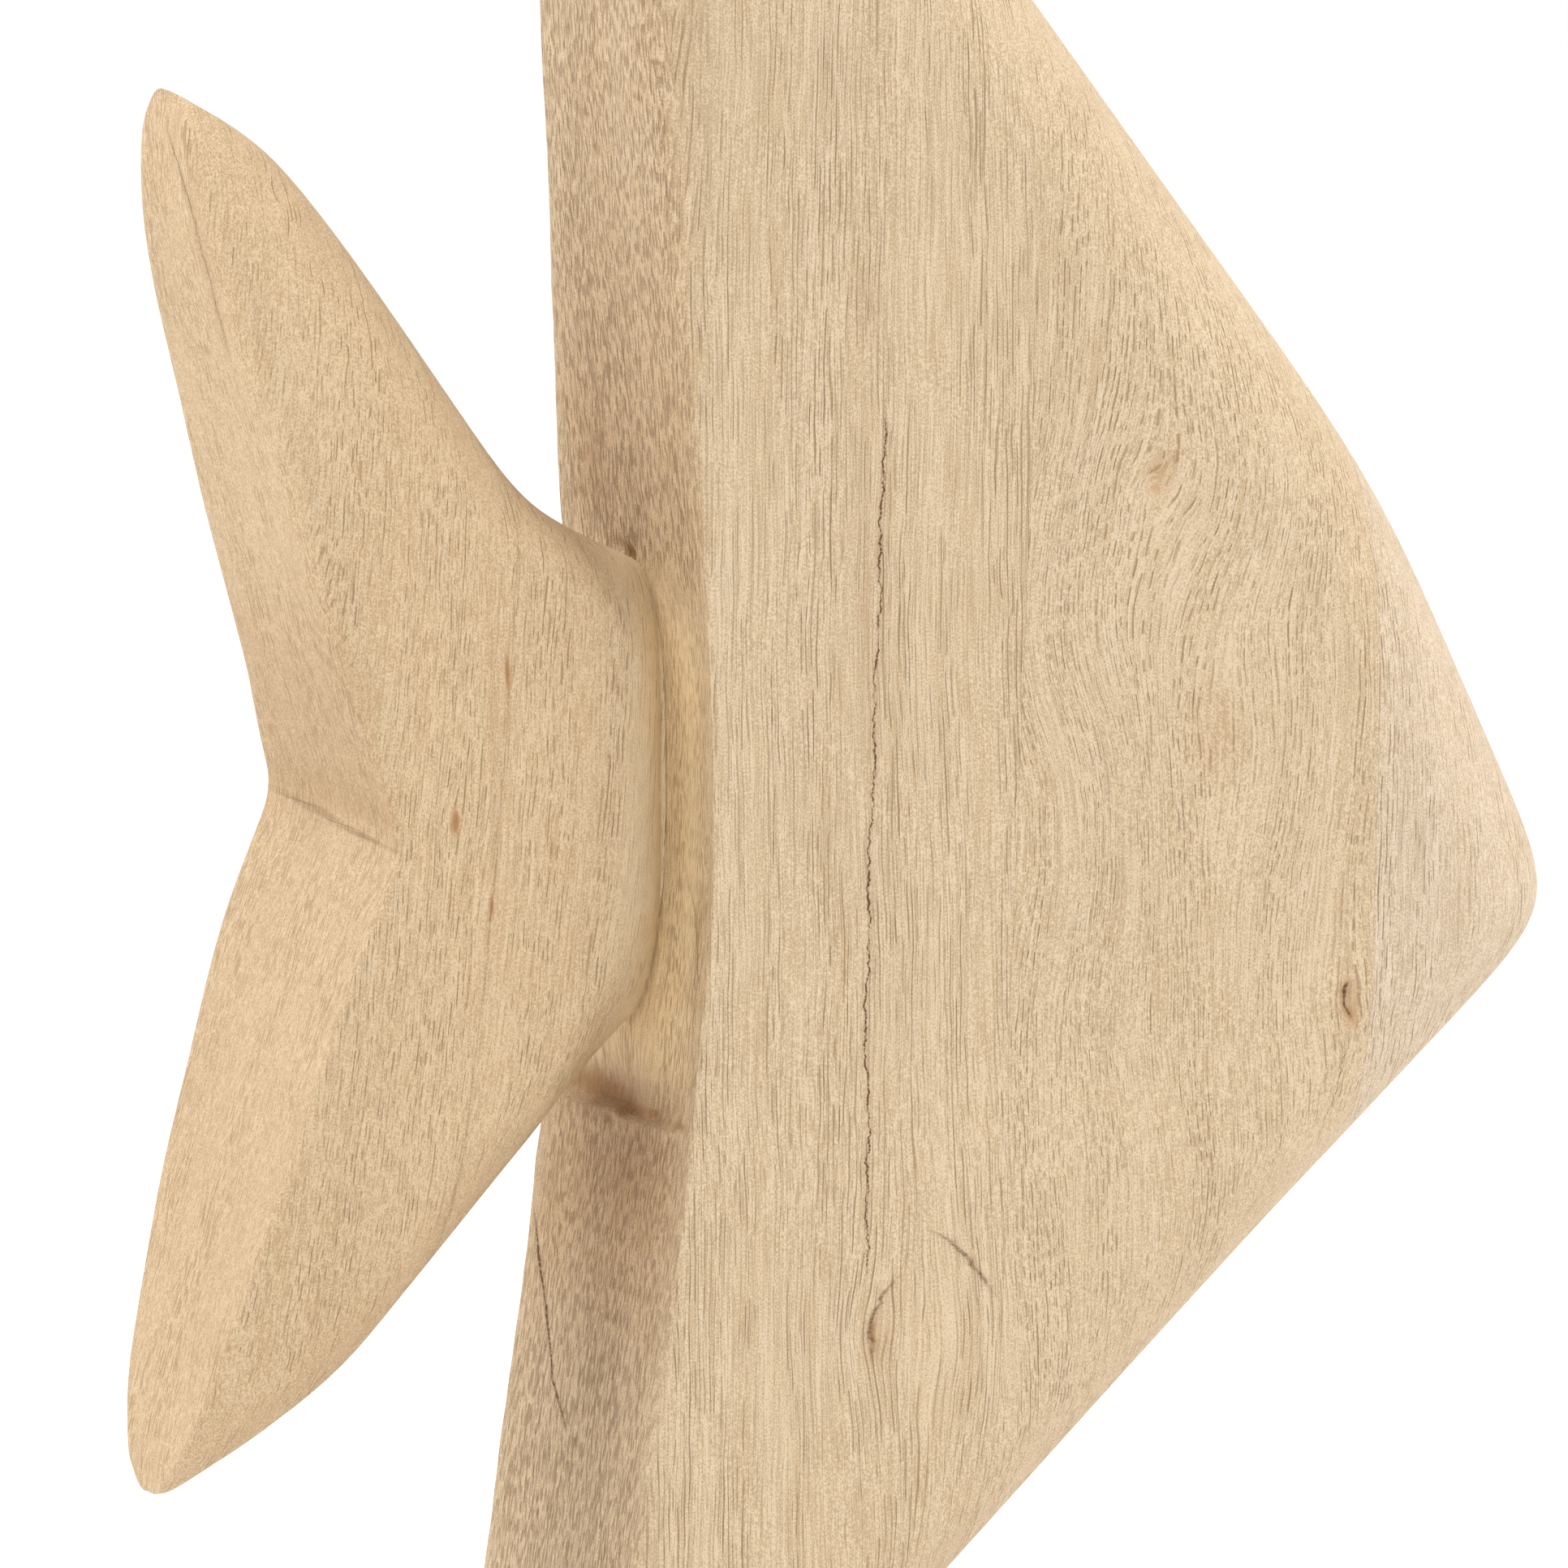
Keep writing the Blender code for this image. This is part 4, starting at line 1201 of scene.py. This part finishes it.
@dataclass
class Tail:
    """The two edge-glued boards of the tail."""

    form: TailForm = field(default_factory=TailForm)
    body: BodyForm = field(default_factory=BodyForm)
    knots: tuple[Knot, ...] = (
        Knot(-72.5, 31.3, 2.2, 0.9, dark=0.9, rings=0.2, dent=0.1, stretch=2.6),
        Knot(-76.6, -14.5, 2.2, 0.7, dark=0.8, rings=0.2, dent=0.1, stretch=2.6),
        Knot(-85.0, 3.0, 3.0, 1.1, dark=0.9, rings=0.2, dent=0.2, stretch=1.8),
    )

    def outer_limits(self, z: Array) -> tuple[Array, Array]:
        """Outer board: from the trailing face to the joint."""
        back, lead = self.form.ends(z)
        return back, np.minimum(lead, GLUE_TAIL.x(z) - JOINT_LINE)

    def inner_limits(self, z: Array) -> tuple[Array, Array]:
        """Inner board: from the joint to the rear face of the body."""
        root = self.body.rear.x(z) - JOINT_LINE
        return GLUE_TAIL.x(z) + JOINT_LINE, np.minimum(self.form.ends(z)[1], root)

    def build(self) -> None:
        """Make and dress the two boards."""
        outer = Board("tail_outer_board", self.outer_limits, self.form, 250,
                      (self.form.bottom, self.form.top), ((-8.0, 9.0, 44),),
                      start_columns=45, side_columns=44, eased_start=True)
        inner = Board("tail_inner_board", self.inner_limits, self.form, 190, (-115.0, 100.0),
                      side_columns=56, end_columns=21)
        joint = Check(((-92.0, GLUE_TAIL.x(-92.0)), (45.0, GLUE_TAIL.x(45.0))), width=0.15,
                      strength=0.45, broken=0.6, waver=0.25, halo=0.2)
        split = Check(((93.3, -13.5), (98.2, -12.8), (109.7, -12.8), (117.8, -11.5),
                       (126.5, -9.6), (132.5, -6.0), (138.5, -2.3), (142.3, -0.6)),
                      Face.TAIL_SIDE, 0.16, 0.75, 0.2, 0.9, 0.25)
        # Not a crack: a broad band of painted shade along the notch crease of the trailing face.
        crease = Check(((-2.4, -34.0), (1.0, 4.0), (3.4, 34.0)), Face.TAIL_SIDE,
                       11.0, 0.45, 0.0, 9.0, 0.2)
        side = Face.TAIL_SIDE
        stains = (
            Stain(-72.5, 31.3, 0.5, 3.6, 1.0), Stain(-76.6, -14.5, 0.4, 2.2, 0.9),
            Stain(-85.0, 3.0, 0.7, 2.0, 1.5), Stain(-76.0, 12.0, 0.8, 30.0, 0.2),
            # The next three wide patches on the trailing face are painted shade: the upper lobe's
            # face, the notch crease and, faintly, the lower lobe's face.
            Stain(0.0, 26.0, 60.0, 24.0, 0.24, side), Stain(0.0, 5.0, 60.0, 6.0, 0.22, side),
            Stain(0.0, -70.0, 60.0, 60.0, 0.08, side), Stain(-12.0, 112.0, 3.0, 24.0, 0.2, side),
        )
        outer_wood = BareWood("tail_outer_timber", seed=13.9, lean=0.10, wander=3.0, pores=0.6,
                              figure=0.9, knots=self.knots, checks=(joint, split, crease),
                              stains=stains, pale=(203, 180, 148), tan=(180, 152, 116))
        # lift paints light onto the inner board's roll into the tail root, where shade falls
        inner_wood = replace(outer_wood, name="tail_inner_timber", seed=17.3, wander=4.0,
                             checks=(joint,), stains=stains[:4], lift=(-50.0, -34.0))
        finish_boards((outer, inner), (outer_wood, inner_wood))


@dataclass
class Dowels:
    """Hidden dowels, a pair in each joint, kept as their CAD shapes in turned hardwood."""

    joints: tuple[str, ...] = ("body_rear", "nose", "tail", "tail_root")

    def build(self) -> None:
        """Dress each dowel in beech."""
        beech = BareWood("dowel_beech", seed=23.0, wander=1.0, pores=0.8, figure=0.6,
                         warm=0.15, along_x=True, pale=(214, 178, 134),
                         tan=(196, 156, 110)).build()
        for joint in self.joints:
            for place in ("upper", "lower"):
                dress(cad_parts[f"{joint}_dowel_{place}"], beech)


class Stand:
    """Block base, rod, collar, washer, nut and felt, kept as their CAD shapes."""

    def build(self) -> None:
        """Dress the stand's pieces."""
        finishes = {
            "plinth": BareWood("plinth_timber", seed=29.0, wander=3.0, figure=0.9, warm=0.05,
                               along_x=True),
            "stand_rod": Metal("rod_black", roughness=0.38),
            "rod_collar": Metal("collar_black", roughness=0.34),
            "rod_washer": Metal("washer_zinc", (172, 174, 176), 1.0, 0.3),
            "rod_nut": Metal("nut_zinc", (168, 170, 173), 1.0, 0.34),
            "felt_sheet": Felt("felt_grey"),
        }
        for name, finish in finishes.items():
            dress(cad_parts[name], finish.build())


@dataclass
class Studio:
    """White paper floor, soft lights and the camera."""

    target: tuple[float, float, float] = (-0.0123, 0.0, 0.294)
    azimuth: float = -26.0
    elevation: float = 9.5
    frame_width: float = 0.30912
    lens: float = 600.0
    sensor: float = 36.0

    def floor(self) -> None:
        """Lay a wide round sheet of paper at zero height."""
        ring = np.linspace(0.0, 2.0 * np.pi, 97)[:-1]
        radii = np.array([0.4, 1.5, 4.0, 9.0])
        x = radii[:, None] * np.cos(ring)
        y = radii[:, None] * np.sin(ring)
        points = np.stack([x, y, np.zeros_like(x)], axis=-1).reshape(-1, 3)
        index = np.arange(points.shape[0]).reshape(radii.size, ring.size)
        after = np.roll(index, -1, axis=1)
        quads = np.stack([index[:-1], index[1:], after[1:], after[:-1]], axis=-1)
        faces = [tuple(q) for q in quads.reshape(-1, 4).tolist()]
        faces.append(tuple(index[0].tolist()))
        mesh = bpy.data.meshes.new("paper_floor")
        mesh.from_pydata(points.tolist(), [], faces)
        mesh.materials.append(StudioPaper().build())
        add_object("paper_floor", mesh)

    def light(self, name: str, azimuth: float, elevation: float, distance: float,
              size: float, power: float, colour: tuple[float, float, float]) -> None:
        """Add a square softbox that faces the fish.

        Args:
            name: name of the light.
            azimuth, elevation: its direction from the fish, in degrees.
            distance, size: metres from the fish, and along its side.
            power: watts.
            colour: colour of its light.
        """
        lamp = bpy.data.lights.new(name, "AREA")
        lamp.shape = "SQUARE"
        lamp.size = size
        lamp.energy = power
        lamp.color = colour
        self.aim(add_object(name, lamp), azimuth, elevation, distance)

    def aim(self, obj: bpy.types.Object, azimuth: float, elevation: float,
            distance: float) -> None:
        """Set a lamp or camera at an azimuth and elevation in degrees, facing the fish."""
        a, e = math.radians(azimuth), math.radians(elevation)
        away = Vector((math.sin(a) * math.cos(e), -math.cos(a) * math.cos(e), math.sin(e)))
        obj.location = Vector(self.target) + away * distance
        obj.rotation_euler = away.to_track_quat("Z", "Y").to_euler()

    def camera(self) -> None:
        """Place the long-lens camera."""
        lens = bpy.data.cameras.new("camera")
        lens.lens = self.lens
        lens.sensor_width = self.sensor
        lens.clip_end = 100.0
        camera = add_object("camera", lens)
        self.aim(camera, self.azimuth, self.elevation,
                 self.frame_width * self.lens / self.sensor)
        bpy.context.scene.camera = camera

    def world(self, strength: float) -> None:
        """Even white surroundings."""
        world = bpy.data.worlds.new("studio")
        world.use_nodes = True
        back = world.node_tree.nodes["Background"]
        back.inputs[0].default_value = (1.0, 1.0, 1.0, 1.0)
        back.inputs[1].default_value = strength
        bpy.context.scene.world = world
        bpy.context.scene.view_settings.view_transform = "Standard"

    def build(self) -> None:
        """Set up the whole studio."""
        self.floor()
        self.world(0.97)
        self.light("key_softbox", 68.0, 50.0, 2.2, 1.4, 32.0, (1.0, 0.985, 0.96))
        self.light("side_softbox", -98.0, 52.0, 2.0, 1.2, 26.0, (1.0, 0.99, 0.97))
        self.camera()


def write_sizes() -> None:
    """Bring the view layer up to date."""
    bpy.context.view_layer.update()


def main() -> None:
    """Build everything in order."""
    logging.basicConfig(level=logging.INFO, format="%(name)s %(message)s")
    Body().build()
    Tail().build()
    Dowels().build()
    Stand().build()
    Studio().build()
    write_sizes()


if __name__ == "__main__":
    main()
